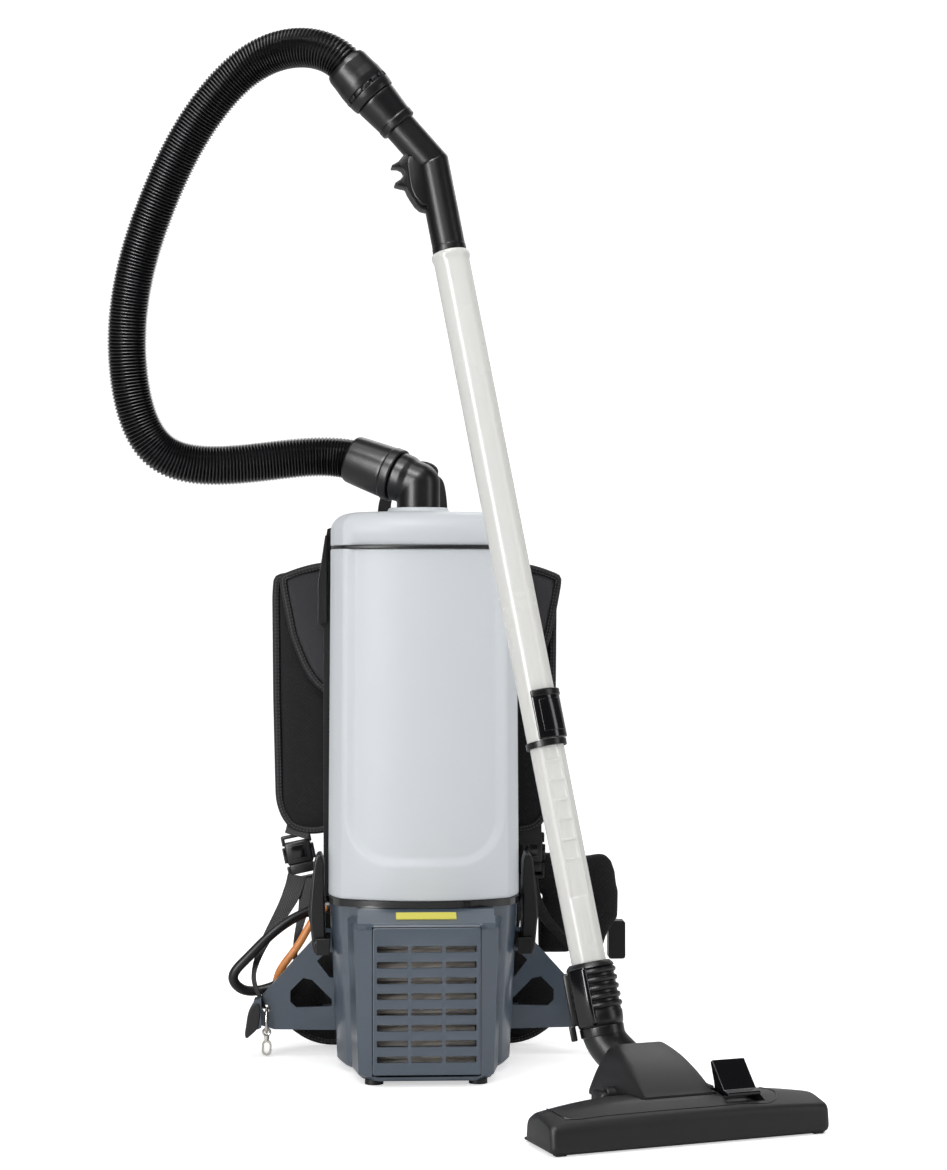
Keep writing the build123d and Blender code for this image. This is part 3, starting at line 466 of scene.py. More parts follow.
def small_block(centre, along, across, half_mm, look, bevel=0.3):
    """Rounded block: half sizes in mm along, across and normal to both."""
    along = Vector(along).normalized()
    across = Vector(across).normalized()
    place = Matrix((along, across, along.cross(across).normalized())).transposed().to_4x4()
    place.translation = centre
    scale = Matrix.Diagonal((*(half * MM for half in half_mm), 1))
    work = bmesh.new()
    bmesh.ops.create_cube(work, size=2)
    bmesh.ops.transform(work, matrix=place @ scale, verts=work.verts)
    bmesh.ops.bevel(work, geom=work.edges[:], offset=bevel * MM, segments=2, affect="EDGES", profile=0.5)
    return place_bmesh("block", work, look)


def slab(name, outline, y0, y1, look, bevel):
    """Plate in the X-Z plane from an outline in mm, with rounded edges."""
    work = bmesh.new()
    front = [work.verts.new((x * MM, y0 * MM, z * MM)) for x, z in outline]
    for first, second in zip(front, front[1:] + front[:1]):
        work.edges.new((first, second))
    bmesh.ops.triangle_fill(work, use_beauty=True, use_dissolve=True, edges=work.edges[:])
    grown = bmesh.ops.extrude_face_region(work, geom=work.faces[:])
    moved = [item for item in grown["geom"] if isinstance(item, bmesh.types.BMVert)]
    bmesh.ops.translate(work, verts=moved, vec=(0, (y1 - y0) * MM, 0))
    bmesh.ops.recalc_face_normals(work, faces=work.faces[:])
    piece = place_bmesh(name, work, look)
    add_bevel(piece, bevel, 50)
    return piece


def extruded(name, outline, origin, across, up, depth, look, bevel):
    """Block with a profile in mm in the plane of two directions, and its depth in mm to either side."""
    work = bmesh.new()
    normal = across.cross(up).normalized() * (depth * MM)
    flat = [origin + across * (x * MM) + up * (z * MM) for x, z in outline]
    near = [work.verts.new(point - normal) for point in flat]
    far = [work.verts.new(point + normal) for point in flat]
    work.faces.new(near)
    work.faces.new(far[::-1])
    for index in range(len(outline)):
        after = (index + 1) % len(outline)
        work.faces.new([near[after], near[index], far[index], far[after]])
    bmesh.ops.recalc_face_normals(work, faces=work.faces[:])
    rim = [edge for edge in work.edges if len([f for f in edge.link_faces if len(f.verts) > 4]) == 1]
    round_edges(work, rim, bevel)
    bmesh.ops.triangulate(work, faces=[face for face in work.faces if len(face.verts) > 4])
    piece = place_bmesh(name, work, look)
    sharpen(piece, 35)
    return piece


def round_edges(work, edges, width):
    bmesh.ops.bevel(work, geom=edges, offset=width * MM, segments=3, affect="EDGES", profile=0.5,
                    clamp_overlap=True)


def evaluated_mesh(piece):
    """New mesh of a piece with its modifiers applied."""
    bpy.context.view_layer.update()
    return bpy.data.meshes.new_from_object(piece.evaluated_get(bpy.context.evaluated_depsgraph_get()))


def apply_modifiers(piece):
    mesh = evaluated_mesh(piece)
    piece.modifiers.clear()
    piece.data = mesh


def coat_all(piece, look):
    """One look over the whole piece."""
    piece.data.materials.clear()
    piece.data.materials.append(look)
    piece.data.polygons.foreach_set("material_index", [0] * len(piece.data.polygons))
    shade_smooth(piece.data)


def join_pieces(name, parts, body):
    """One piece from several; modifiers are applied first."""
    work = bmesh.new()
    looks = []
    for part in parts:
        mesh = evaluated_mesh(part)
        look = part.data.materials[0]
        if look not in looks:
            looks.append(look)
        mesh.polygons.foreach_set("material_index", [looks.index(look)] * len(mesh.polygons))
        work.from_mesh(mesh)
        bpy.data.meshes.remove(mesh)
    joined = bpy.data.meshes.new(name)
    work.to_mesh(joined)
    work.free()
    for look in looks:
        joined.materials.append(look)
    for part in parts:
        bpy.data.objects.remove(part)
    piece = bpy.data.objects.new(name, joined)
    SCENE.collection.objects.link(piece)
    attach(piece, body)
    return piece


# ---------------------------------------------------------------- canister and lid
HALF_WIDTH, FRONT_Y, REAR_Y, REAR_CORNER = 95.0, -75.0, 85.0, 20.0
RIM_Z, SEAM_Z, LID_Z, LID_TOP = 172.0, 514.5, 518.0, 552.0
DRAFT = math.radians(0.4)
RECESS_HALF, RECESS_FOOT, RECESS_CORNER, RECESS_DEPTH, RECESS_BAND = 70.0, 214.0, 38.0, 3.4, 9.0


def arc_points(start, through, end, count):
    """Points on the circle arc through three points, without the last one."""
    (ax, ay), (bx, by), (cx, cy) = start, through, end
    d = 2 * (ax * (by - cy) + bx * (cy - ay) + cx * (ay - by))
    a, b, c = ax * ax + ay * ay, bx * bx + by * by, cx * cx + cy * cy
    ux = (a * (by - cy) + b * (cy - ay) + c * (ay - by)) / d
    uy = (a * (cx - bx) + b * (ax - cx) + c * (bx - ax)) / d
    radius = math.hypot(ax - ux, ay - uy)
    first, middle, last = (math.atan2(y - uy, x - ux) for x, y in (start, through, end))
    sweep = (last - first) % (2 * math.pi)
    if not 0 < (middle - first) % (2 * math.pi) < sweep:
        sweep -= 2 * math.pi
    turns = [first + sweep * step / count for step in range(count)]
    return [(ux + radius * math.cos(turn), uy + radius * math.sin(turn)) for turn in turns]


def body_outline():
    """Plan of the canister in mm, evenly spaced, with outward normals: (points, normals)."""
    shoulder = (0.865 * HALF_WIDTH, FRONT_Y + 24)
    flank = (HALF_WIDTH, FRONT_Y + 75)
    between = (0.962 * HALF_WIDTH, (shoulder[1] + flank[1]) / 2 - 4)
    bulge = REAR_CORNER * (1 - math.cos(math.radians(45)))
    corner = (HALF_WIDTH, REAR_Y - REAR_CORNER)
    rear = (HALF_WIDTH - REAR_CORNER, REAR_Y)
    right = arc_points(shoulder, between, flank, 60)
    right += [(HALF_WIDTH, flank[1] + (corner[1] - flank[1]) * k / 30) for k in range(30)]
    right += arc_points(corner, (HALF_WIDTH - bulge, REAR_Y - bulge), rear, 30) + [rear]
    points = arc_points((-shoulder[0], shoulder[1]), (0, FRONT_Y), shoulder, 160) + right
    points += [(rear[0] - 2 * rear[0] * k / 80, REAR_Y) for k in range(1, 80)]
    points += [(-x, y) for x, y in right[:0:-1]]
    ring = resampled(points + points[:1], 480, with_last=False)
    tangent = np.roll(ring, -2, axis=0) - np.roll(ring, 2, axis=0)
    normal = np.stack([tangent[:, 1], -tangent[:, 0]], axis=1)
    return ring, normal / np.linalg.norm(normal, axis=1, keepdims=True)


OUTLINE, OUTWARD = body_outline()


def recess(x, y, z):
    """Depth in mm of the sunk front panel at a point of the canister's surface."""
    if y > -20:
        return 0.0
    dx = abs(x) - (RECESS_HALF - RECESS_CORNER)
    dz = (RECESS_FOOT + RECESS_CORNER) - z
    outside = math.hypot(max(dx, 0), max(dz, 0)) + min(max(dx, dz), 0) - RECESS_CORNER
    t = min(1.0, max(0.0, 1 - outside / RECESS_BAND))
    soft = 0.16
    if t < soft:
        eased = t * t / (2 * soft)
    elif t < 1 - soft:
        eased = t - soft / 2
    else:
        eased = 1 - soft - (1 - t) ** 2 / (2 * soft)
    return RECESS_DEPTH * eased / (1 - soft)


def shell_ring(z, inset, sunk=True):
    """Ring of the canister's outline at a height, drafted, inset and sunk at the front panel."""
    shrink = (z - RIM_Z) * math.sin(DRAFT) + inset
    ring = []
    for (x, y), (nx, ny) in zip(OUTLINE, OUTWARD):
        back = shrink + (recess(x, y, z) if sunk else 0)
        ring.append(Vector((x - nx * back, y - ny * back, z)) * MM)
    return ring


def rolled_edge(z, way):
    """Rings that turn in under an open edge: way is 1 for a lower edge and -1 for an upper one."""
    return [shell_ring(z + up * way, inset) for up, inset in ((0, 4.0), (0, 1.0), (0.3, 0.3),
                                                              (1.0, 0))][::way]


def make_canister():
    rings = rolled_edge(RIM_Z, 1)
    z = RIM_Z + 3
    while z < SEAM_Z - 1:
        rings.append(shell_ring(z, 0))
        z += 1.8 if z < RECESS_FOOT + RECESS_CORNER + 4 else 8
    rings += rolled_edge(SEAM_Z, -1)
    stands_for(loft("canister_shell", rings, SHELL, "body", wrap=True, crisp=45), "light_shell", "canister")


def make_lid():
    """Domed lid with a rounded shoulder and a raised round collar for the hose inlet."""
    inlet = INLET / MM
    fillet = 22.0
    spring = LID_TOP - fillet * 0.86
    rings = rolled_edge(LID_Z, 1) + [shell_ring(spring - 4, 0, False)]
    for step in range(17):
        turn = math.radians(90) * step / 16
        rings.append(shell_ring(spring + fillet * 0.80 * math.sin(turn), fillet * (1 - math.cos(turn)),
                                False))
    rim = rings[-1]
    turns = [math.atan2(point.y - INLET.y, point.x - INLET.x) for point in rim]

    def collar(radius, z):
        return [Vector((inlet.x + radius * math.cos(t), inlet.y + radius * math.sin(t),
                        z)) * MM for t in turns]

    disc = collar(33, LID_TOP)
    for step in range(1, 11):
        t = step / 10
        ring = [outer.lerp(inner, t) for outer, inner in zip(rim, disc)]
        z = rim[0].z + (disc[0].z - rim[0].z) * math.sin(t * math.pi / 2)
        rings.append([Vector((point.x, point.y, z)) for point in ring])
    rings += [collar(radius, z) for radius, z in (
        (32, 552.3), (30.6, 553.4), (30, 555.0), (29.3, 555.9), (28, 556.2), (23.2, 556.2), (22.4, 555.9),
        (22.0, 555.0), (22.0, 548), (33, 548))]
    ceiling = 546 * MM
    rings.append([Vector((point.x, point.y, ceiling)) for point in shell_ring(LID_Z, 26, False)])
    rings.append(shell_ring(LID_Z + 12, 5.0, False))
    stands_for(loft("lid_shell", rings, SHELL, "lid", wrap=True, crisp=50), "light_shell", "lid")


# ---------------------------------------------------------------- hose line
def joint_place(name):
    return Vector(JOINTS[name]["pos_m"]), Vector(JOINTS[name]["axis"]).normalized()


INLET = joint_place("elbow_turn")[0]
OUTLET, OUTLET_DIR = joint_place("cuff_turn")
HOSE_END, HANDLE_DIR = joint_place("handle_turn")
WAND_JOINT, WAND_DIR = joint_place("telescope")
COLLAR_END = joint_place("neck_turn")[0]
OUTER_LENGTH = 476.0
WAND_TOP = WAND_JOINT - WAND_DIR * (OUTER_LENGTH * MM)
HANDLE_BEND = WAND_TOP - WAND_DIR * 0.097


def make_hose():
    """Corrugated hose, one rounded rib per pitch, slightly thinner towards the handle."""
    pitch, steps = 3.3, 6
    via = metres([(-194, 29, 600), (-262, 20, 612), (-294, 10, 690), (-262, -20, 859), (-203, -45, 957),
                  (-145, -65, 997)])
    start = OUTLET + OUTLET_DIR * 0.040
    line = spline([start, *via, HOSE_END - HANDLE_DIR * 0.003], OUTLET_DIR, HANDLE_DIR)
    total = int(run_length(line)[-1] / MM / pitch) * steps
    path = [Vector(point) for point in resampled(line, total + 1)]

    def radius(index):
        ridge = (0.5 - 0.5 * math.cos(2 * math.pi * (index % steps) / steps)) ** 0.6
        return 18.1 - 1.2 * (index / total) + 2.1 * ridge

    piece = pipe("corrugated_hose", path, radius, HOSE, segments=44)
    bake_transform(piece)
    stands_for(piece, "hose_plastic", "hose")


def fuse(piece, voxel, rounds):
    """Overlapping parts become one skin with soft inner corners."""
    remesh = piece.modifiers.new("skin", "REMESH")
    remesh.mode = "VOXEL"
    remesh.voxel_size = voxel * MM
    soft = piece.modifiers.new("soft", "SMOOTH")
    soft.iterations = rounds
    look = piece.data.materials[0]
    apply_modifiers(piece)
    coat_all(piece, look)


def make_elbow():
    """Upright tube that turns sharply into its side outlet."""
    radius = 21.7
    flat = Vector((OUTLET_DIR.x, OUTLET_DIR.y, 0)).normalized()
    reach = (OUTLET - INLET).dot(flat) / OUTLET_DIR.dot(flat)
    corner = OUTLET - OUTLET_DIR * reach
    foot = Vector((INLET.x, INLET.y, 0.547))
    tall, far = (corner - foot).length / MM, reach / MM
    turns = [math.radians(a) for a in range(3, 180, 6)]
    ball = [(-radius * math.cos(turn), radius * math.sin(turn)) for turn in turns]
    socket = [(0, 1), (0, radius), (7, 22.0), (13, 24.2), (far - 1.0, 24.8), (far + 0.6, 24.2),
              (far + 0.6, 18), (far - 3, 18)]
    parts = [lathe("upright", foot, UP, [(0, 17), (0, radius), (tall, radius), (tall, 1)], BLACK),
             lathe("ball", corner, OUTLET_DIR, ball, BLACK),
             lathe("outlet", corner, OUTLET_DIR, socket, BLACK, segments=96)]
    piece = join_pieces("elbow_body", parts, "elbow")
    fuse(piece, 0.8, 7)
    stands_for(piece, "black_plastic", "elbow")


def make_cuffs():
    """Lower cuff on the elbow, and the swivel collar at the handle with its ring of air slots."""
    profile = [(1.2, 21.9), (1.2, 26.0), (2.2, 27.0), (10.5, 27.0), (11.5, 25.9), (14, 26.1), (30, 25.5),
               (44, 24.8), (52, 24.3), (54, 23.4), (54, 20.6)]
    lower = lathe("hose_cuff_turned", OUTLET, OUTLET_DIR, round_profile(profile, 0.8), BLACK, "hose", 96)
    stands_for(lower, "black_plastic", "hose_cuff_lower")
    profile = [(-5, 18.9), (-5, 20.6), (-1, 22.2), (10, 22.9), (18, 23.8), (24.6, 23.8), (25, 21.6),
               (28.6, 21.6), (29, 23.7), (34, 23.4), (38.6, 22.4), (38.6, 19.4)]
    parts = [lathe("swivel_collar", HOSE_END, HANDLE_DIR, round_profile(profile, 0.8), BLACK, segments=96)]
    groove, bars = HOSE_END + HANDLE_DIR * 0.0268, 14
    for place in circle(groove, *basis(HANDLE_DIR), 22.6, bars):
        along = (place - groove).cross(HANDLE_DIR)
        parts.append(small_block(place, HANDLE_DIR, along, (1.9, 3.6, 1.3), BLACK, 0.5))
    upper = join_pieces("swivel_collar_ribbed", parts, "hose_end")
    stands_for(upper, "black_plastic", "hose_cuff_upper")


def mitred_pipe(name, start, corner, end, radius, look, segments=80):
    """Round pipe with one sharp bend, slightly eased on its mitre line."""
    first = (corner - start).normalized()
    last = (end - corner).normalized()
    hinge = first.cross(last).normalized()
    middle = (first + last).normalized()
    rings = []
    for place, leg, reach, ease in (
            (start, first, radius, None), (corner, first, radius, -1.6), (corner, first, radius, -0.5),
            (corner, first, radius * 0.985, 0.0), (corner, last, radius, 0.5), (corner, last, radius, 1.6),
            (end, last, radius, None)):
        ring = circle(place, hinge, leg.cross(hinge).normalized(), reach, segments)
        if ease is not None:
            ring = [point - leg * ((point - place).dot(middle) / leg.dot(middle) - ease * MM) for point in ring]
        rings.append(ring)
    return loft(name, rings, look, crisp=50)


def make_handle():
    """Bent handle pipe with its tapered sleeve, end bead and ferrule."""
    sleeve = [(39.4, 15), (39.4, 20.8), (42, 21.0), (64, 18.9), (66.5, 18.8), (67.5, 19.3), (73.4, 19.0),
              (74.6, 17.2), (75.6, 15)]
    ferrule = [(-12, 15.2), (-11, 16.3), (-5, 16.4), (-4.4, 15.2)]
    overlap = 0.030
    top, foot = HOSE_END + HANDLE_DIR * overlap, WAND_TOP + WAND_DIR * overlap
    parts = [mitred_pipe("handle_core", top, HANDLE_BEND, foot, 15.9, BLACK),
             lathe("handle_sleeve", HOSE_END, HANDLE_DIR, round_profile(sleeve, 0.8), BLACK, segments=96),
             lathe("handle_ferrule", WAND_TOP, WAND_DIR, round_profile(ferrule, 0.3), BLACK)]
    stands_for(join_pieces("handle_bent_pipe", parts, "handle"), "black_plastic", "handle_pipe")


def make_air_slider():
    """Thumb slide with two swept fins under the handle."""
    fins = [(12, 36), (26, 37.5), (29.5, 34), (34, 29.8), (40.6, 27.2), (41, 25.2), (35, 24.4), (31.4, 22),
            (29.8, 17), (35, 12), (40.8, 9), (41.2, 7), (36, 4.8), (31.4, 3.2), (30.2, -2), (28.4, -7),
            (25, -15),
            (21, -20), (16, -22), (12, -22)]
    cheek = [(12, 32), (24, 33), (27, 26), (27.5, 2), (25.5, -8), (20, -17), (12, -19)]
    out = across_to((-1, -0.15, 0), WAND_DIR)
    origin = HANDLE_BEND + WAND_DIR * 0.026
    parts = [extruded("slide_body", fins, origin, out, -WAND_DIR, 5.5, BLACK, 0.7),
             extruded("slide_cheek", cheek, origin, out, -WAND_DIR, 8.5, BLACK, 1.6)]
    stands_for(join_pieces("air_slide", parts, "slider"), "black_plastic", "air_slider")


# ---------------------------------------------------------------- wand
FACE = across_to((-0.085, -1, 0), WAND_DIR)
FLANK = FACE.cross(WAND_DIR).normalized()
TUBE_RADIUS, TUBE_BORE = 15.9, 14.3
TUBE_HEAD, TUBE_FOOT = -262, (COLLAR_END - WAND_JOINT).dot(WAND_DIR) / MM - 8
ROW_TURN, ROW_HALF, ROW_PITCH = math.radians(17), 7.4, 18.5
ROW_START, ROW_LAST, ROW_END = -176, 111.0, 145


def wand_point(station, turn, radius):
    """Point round the wand: station in mm below the joint ring, turn from its front, radius in mm."""
    out = FACE * math.cos(turn) + FLANK * math.sin(turn)
    return WAND_JOINT + WAND_DIR * (station * MM) + out * (radius * MM)


def tube_surface(turn, station):
    """Radius in mm of the inner tube: a sunk lane between two beads, with one ramped pocket per stop."""
    off = (turn - ROW_TURN + math.pi) % (2 * math.pi) - math.pi
    if abs(off) > 1.2 or not ROW_START <= station <= ROW_END:
        return TUBE_RADIUS
    side = abs(math.sin(off) * TUBE_RADIUS)
    edge = min(1.0, max(0.0, (ROW_HALF - side) / 0.9))
    if edge <= 0:
        bead = max(0.0, 1 - abs(side - ROW_HALF - 0.9) / 0.9)
        return TUBE_RADIUS + 0.45 * bead * min(1, (ROW_END - station) / 3)
    lane = 0.75
    if station < ROW_LAST:
        phase = (station - ROW_LAST) % ROW_PITCH
        ramp_length = ROW_PITCH - 2.2
        if phase < ramp_length:
            inside = min(1.0, max(0.0, (ROW_HALF - 1.0 - side) / 0.5))
            lane += (0.30 + phase / ramp_length) * inside
        else:
            lane -= 0.45
    return TUBE_RADIUS - edge * lane * min(1.0, (ROW_END - station) / 1.5)


def make_tubes():
    """Drawn outer tube with a rolled top, and the inner tube with its row of pockets for the height stop."""
    outer = [(-4, 16.5), (-4.2, 17.4), (-3.2, 18.3), (-1, 18.5), (1.2, 18.3), (3, 17.5), (5, 17.2), (9, 17.2),
             (OUTER_LENGTH, 17.2), (OUTER_LENGTH, 16.5)]
    stands_for(lathe("outer_tube_drawn", WAND_TOP, WAND_DIR, outer, WHITE, "handle", 128), "white_tube",
               "outer_tube")
    turns = [*np.arange(math.radians(-30), math.radians(62), math.radians(1.6)),
             *np.arange(math.radians(62), math.radians(330), math.radians(7))]
    stations = [*np.arange(TUBE_HEAD, ROW_START, 20), *np.arange(ROW_START, 146.0, 0.9), 160, 185, TUBE_FOOT]
    rings = [[wand_point(station, turn, tube_surface(turn, station)) for turn in turns] for station in stations]
    rings += [[wand_point(station, turn, TUBE_BORE) for turn in turns] for station in (TUBE_FOOT, TUBE_HEAD)]
    inner = loft("inner_tube_drawn", rings, WHITE, "lower_wand", wrap=True, crisp=40)
    stands_for(inner, "white_tube", "inner_tube")


def arc_slab(name, stations, turns, radii, look, bevel):
    """Curved cover on the wand: pairs of stations and radii in mm, and of angles in degrees from the front."""
    (low, high), (first, last), (near, far) = stations, turns, radii
    steps = 20
    turns = [math.radians(first + (last - first) * step / steps) for step in range(steps + 1)]
    work = bmesh.new()
    rows = [[work.verts.new(wand_point(station, turn, radius)) for turn in turns]
            for station, radius in ((low, near), (low, far), (high, far), (high, near))]
    for row in range(4):
        here, there = rows[row], rows[(row + 1) % 4]
        for k in range(steps):
            work.faces.new([here[k], here[k + 1], there[k + 1], there[k]])
    work.faces.new([row[0] for row in rows])
    work.faces.new([row[-1] for row in rows[::-1]])
    bmesh.ops.recalc_face_normals(work, faces=work.faces[:])
    round_edges(work, [edge for edge in work.edges if edge.calc_face_angle(0) > math.radians(45)], bevel)
    piece = place_bmesh(name, work, look)
    sharpen(piece, 40)
    return piece


def make_release():
    """Glossy cover of the height stop, with a lip at its top and its press button."""
    parts = [arc_slab("cover", (-48, -2.6), (-15, 92), (17.25, 20.6), GLOSSY, 1.1),
             arc_slab("lip", (-48.5, -42), (-13, 90), (17.25, 21.6), BLACK, 1.0)]
    stands_for(join_pieces("release_cover", parts, "handle"), "black_plastic", "release_housing")
    button = arc_slab("release_press", (-39, -9), (4, 66), (20.3, 21.4), GLOSSY, 0.6)
    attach(button, "button")
    stands_for(button, "black_plastic", "release_button")


def make_collar():
    """Ribbed sleeve that clamps the floor tool to the wand, with its front panel and the parking rail."""
    length = 56
    start = COLLAR_END - WAND_DIR * (length * MM)
    profile = [(0, 16.0), (-1, 18.4), (1.5, 21.0), (4, 22.2)]
    for rib in range(5):
        low = 5.0 + rib * 7.7
        profile += [(low + up, radius) for up, radius in ((0, 20.7), (1.0, 22.4), (2.9, 23.1), (4.8, 22.4),
                                                          (5.8, 20.7))]
    profile += [(44, 20.9), (45.5, 21.6), (52, 21.2), (56, 20.4), (57, 19.4), (57, 17.6)]
    parts = [lathe("collar_ribs", start, WAND_DIR, profile, BLACK, segments=112)]
    panel_out, rail_out = across_to((-0.62, -0.78, 0), WAND_DIR), across_to((-1, 0.1, 0), WAND_DIR)
    for station, out, reach, half, look, bevel in (
            (29, panel_out, 16.8, (26.5, 9.5, 7.0), GLOSSY, 2.8),
            (29, rail_out, 22.0, (24.0, 8.6, 4.4), BLACK, 2.0),
            (59, rail_out, 26.2, (7.0, 8.2, 2.9), BLACK, 1.2)):
        place = start + WAND_DIR * (station * MM) + out * (reach * MM)
        parts.append(small_block(place, WAND_DIR, WAND_DIR.cross(out), half, look, bevel))
    piece = join_pieces("tube_collar_ribbed", parts, "lower_wand")
    stands_for(piece, "black_plastic", "tube_collar", "parking_clip")


# ---------------------------------------------------------------- floor head
TILT, HEAD_X = joint_place("head_tilt")
HEAD_Y = UP.cross(HEAD_X).normalized()
HEAD_ORIGIN = TILT - HEAD_Y * 0.050 - UP * 0.029
HEAD_HALF, HEAD_RIM = 132.0, 6.0
PEDAL_X = 56.6


def head_point(x, y, z):
    """Point in the floor head's own axes, in mm: along its length, to its rear and up."""
    return HEAD_ORIGIN + HEAD_X * (x * MM) + HEAD_Y * (y * MM) + UP * (z * MM)


def make_neck():
    """Bent tube from the collar to the floor head, with the seam of its swivel."""
    target = Vector((TILT.x, TILT.y, 0)) + HEAD_Y * 0.034 + UP * 0.042
    start = COLLAR_END + WAND_DIR * 0.0005
    low = start + WAND_DIR * 0.002
    knee = start + WAND_DIR * 0.014
    lean = knee.lerp(target, 0.35)
    path = [start, low]
    for step in range(1, 17):
        t = step / 16
        path.append(low * (1 - t) ** 2 + knee * (2 * t * (1 - t)) + lean * t ** 2)
    path += [lean.lerp(target, k / 5) for k in range(1, 6)]
    seam = round_profile([(0.5, 17), (0.5, 20.3), (8.5, 20.1), (9.2, 18)], 0.5)
    parts = [pipe("neck_tube", path, 19.0, BLACK, segments=80),
             lathe("neck_seam", start, WAND_DIR, seam, BLACK)]
    stands_for(join_pieces("nozzle_neck_bent", parts, "knuckle"), "black_plastic", "nozzle_neck")


def head_ridge(x):
    """The four corners (y, z) of the head's top across its length; it sinks towards its ends."""
    sink = 6.0 * (abs(x) / HEAD_HALF) ** 3
    return [(-36, 27 - 0.3 * sink), (-9, 37.5 - sink), (22, 36.5 - 1.2 * sink), (36, 29 - 1.2 * sink)]


def head_section(x):
    """Outline of the floor head across its length at x, as (y, z) in mm."""
    back = 37 - max(0.0, (abs(x) - 62) / 70) * 14
    front, crown, (_, rear_z), (_, back_z) = head_ridge(x)
    points = [(-38.2, 2.0), front, crown, (back - 15, rear_z), (back - 1, back_z), (back + 0.7, 2.0)]
    return round_profile(points, 6.5, 6)


def head_height(x, y):
    """Height of the head's top skin at a point."""
    return float(np.interp(y, *zip(*head_ridge(x))))


def head_block(x, y, z):
    """Block in the head's own axes, from its low and high limits, only used to cut a pocket."""
    half = [(high - low) / 2 for low, high in (x, y, z)]
    return small_block(head_point(sum(x) / 2, sum(y) / 2, sum(z) / 2), HEAD_X, HEAD_Y, half, BLACK, 0.4)


def cut_away(piece, tools):
    for tool in tools:
        cut = piece.modifiers.new("cut", "BOOLEAN")
        cut.operation = "DIFFERENCE"
        cut.solver = "EXACT"
        cut.object = tool
    look = piece.data.materials[0]
    apply_modifiers(piece)
    coat_all(piece, look)
    for tool in tools:
        bpy.data.objects.remove(tool)


def head_rings():
    """Sections of the floor head along its length, drawn in at both rounded ends."""
    turns = [math.pi / 2 * k / 6 for k in range(6, -1, -1)]
    end = [(-HEAD_HALF + HEAD_RIM * (1 - math.sin(turn)), HEAD_RIM * (1 - math.cos(turn))) for turn in turns]
    inner = HEAD_HALF - HEAD_RIM - 4
    stations = end + [(x, 0.0) for x in np.linspace(-inner, inner, 50)] + [(-x, inset) for x,
                                                                           inset in end[::-1]]
    middle_z = 18.0
    rings = []
    for x, inset in stations:
        ring = []
        for y, z in head_section(x):
            keep = 1 - inset / max(math.hypot(y, z - middle_z), 12)
            ring.append(head_point(x, y * keep, middle_z + (z - middle_z) * keep))
        rings.append(ring)
    return rings


def make_floor_head():
    """Long low head with rounded ends, a parting seam, wheel ears and lip feet."""
    body = loft("head_body", head_rings(), GRAINED, crisp=50)
    high = 60
    cut_away(body, [head_block(*limits) for limits in (
        ((-36.4, 36.4), (-9.0, high), (14, high)), ((-45.7, 45.7), (18, high), (12, high)),
        ((PEDAL_X - 18.2, PEDAL_X + 18.2), (-24, 18), (27, high)), ((-24, 24), (-20, 20), (0, 20)),
        ((-126, 126), (-31, -25), (0, 12)), ((-126, 126), (10, 16), (0, 12)))])
    sharpen(body, 45)
    parts = [body]
    for side in (-1, 1):
        parts.append(small_block(head_point(side * 51, 46, 24), HEAD_Y, UP, (12, 11, 4.6), GRAINED, 3.0))
        parts.append(small_block(head_point(side * 122, -30, 2.4), HEAD_X, HEAD_Y, (5, 4, 2.2), GRAINED, 0.6))
    seam = [(-118, 8), (-119, -8), (-112, -24), (-90, -27)] + [(x, -27) for x in range(-60, 61, 30)]
    seam += [(PEDAL_X + 22, -27), (PEDAL_X + 31, -20), (PEDAL_X + 31, 12)]
    laid = []
    for point in smooth_path([head_point(x, y, head_height(x, y) + 0.1) for x, y in seam], 260):
        x, y = ((point - HEAD_ORIGIN).dot(axis) / MM for axis in (HEAD_X, HEAD_Y))
        laid.append(head_point(x, y, head_height(x, y) + 0.05))
    parts.append(pipe("seam", laid, 0.42, GLOSSY, segments=8))
    stands_for(join_pieces("floor_head_shell", parts, "floor_head"), "black_plastic", "nozzle_head")


def hood_ring(t):
    """Section of the hood at a share of its length, from its mouth to its nose."""
    y = 78 - 86 * t
    lean = y + 18 * (1 - t) ** 1.5
    top = 68.5 - 30.0 * t + 5.2 * math.sin(math.pi * min(1, t * 1.02)) ** 0.9
    foot = 21 + 13 * t
    half = 27 + 5.5 * t + 1.2 * math.sin(math.pi * t)
    low = 42 - 7.5 * t
    belly = (low + half) / 2 + 2.4 * (1 - t)
    waist = (foot + top) / 2
    outline = [(-low, foot), (-belly, waist), (-half, top), (half, top), (belly, waist), (low, foot)]
    ring = []
    for x, z in round_profile(outline, 7.0, 5):
        share = min(1.0, max(0.0, (top - z) / max(top - foot, 1)))
        ring.append(head_point(x, y + (lean - y) * share, z))
    return ring


def make_hood():
    """Tapering hood over the tilt joint, arched lengthwise, with a rounded ridge and a sunk mouth."""
    steps = 28
    rings = [hood_ring(step / steps) for step in range(steps + 1)]
    mouth, centre = rings[0], head_point(0, 84, 42)
    for depth, shrink in ((0.3, 0.985), (1.2, 0.95), (14, 0.90)):
        rings.insert(0, [centre + (point - centre) * shrink - HEAD_Y * (depth * MM) for point in mouth])
    parts = [loft("hood_shell", rings, GRAINED, crisp=60),
             lathe("barrel", head_point(-45.5, 50, 29), HEAD_X, round_profile(
                 [(0, 3.1), (0, 9), (91, 9), (91, 3.1)], 1.4), GRAINED, segments=48)]
    stands_for(join_pieces("hood", parts, "knuckle"), "black_plastic", "nozzle_knuckle")


# ---------------------------------------------------------------- side latches
LEVER_OUTLINE = [(97.6, 121), (99.5, 112.5), (107, 112), (110.5, 117), (113.5, 150), (112.2, 172), (109, 204),
                 (106.5, 211), (102, 212.5), (99.3, 205)]
SPINE_OUTLINE = [(108, 122), (115, 150), (113.6, 172), (109, 200), (107, 170), (106, 130)]


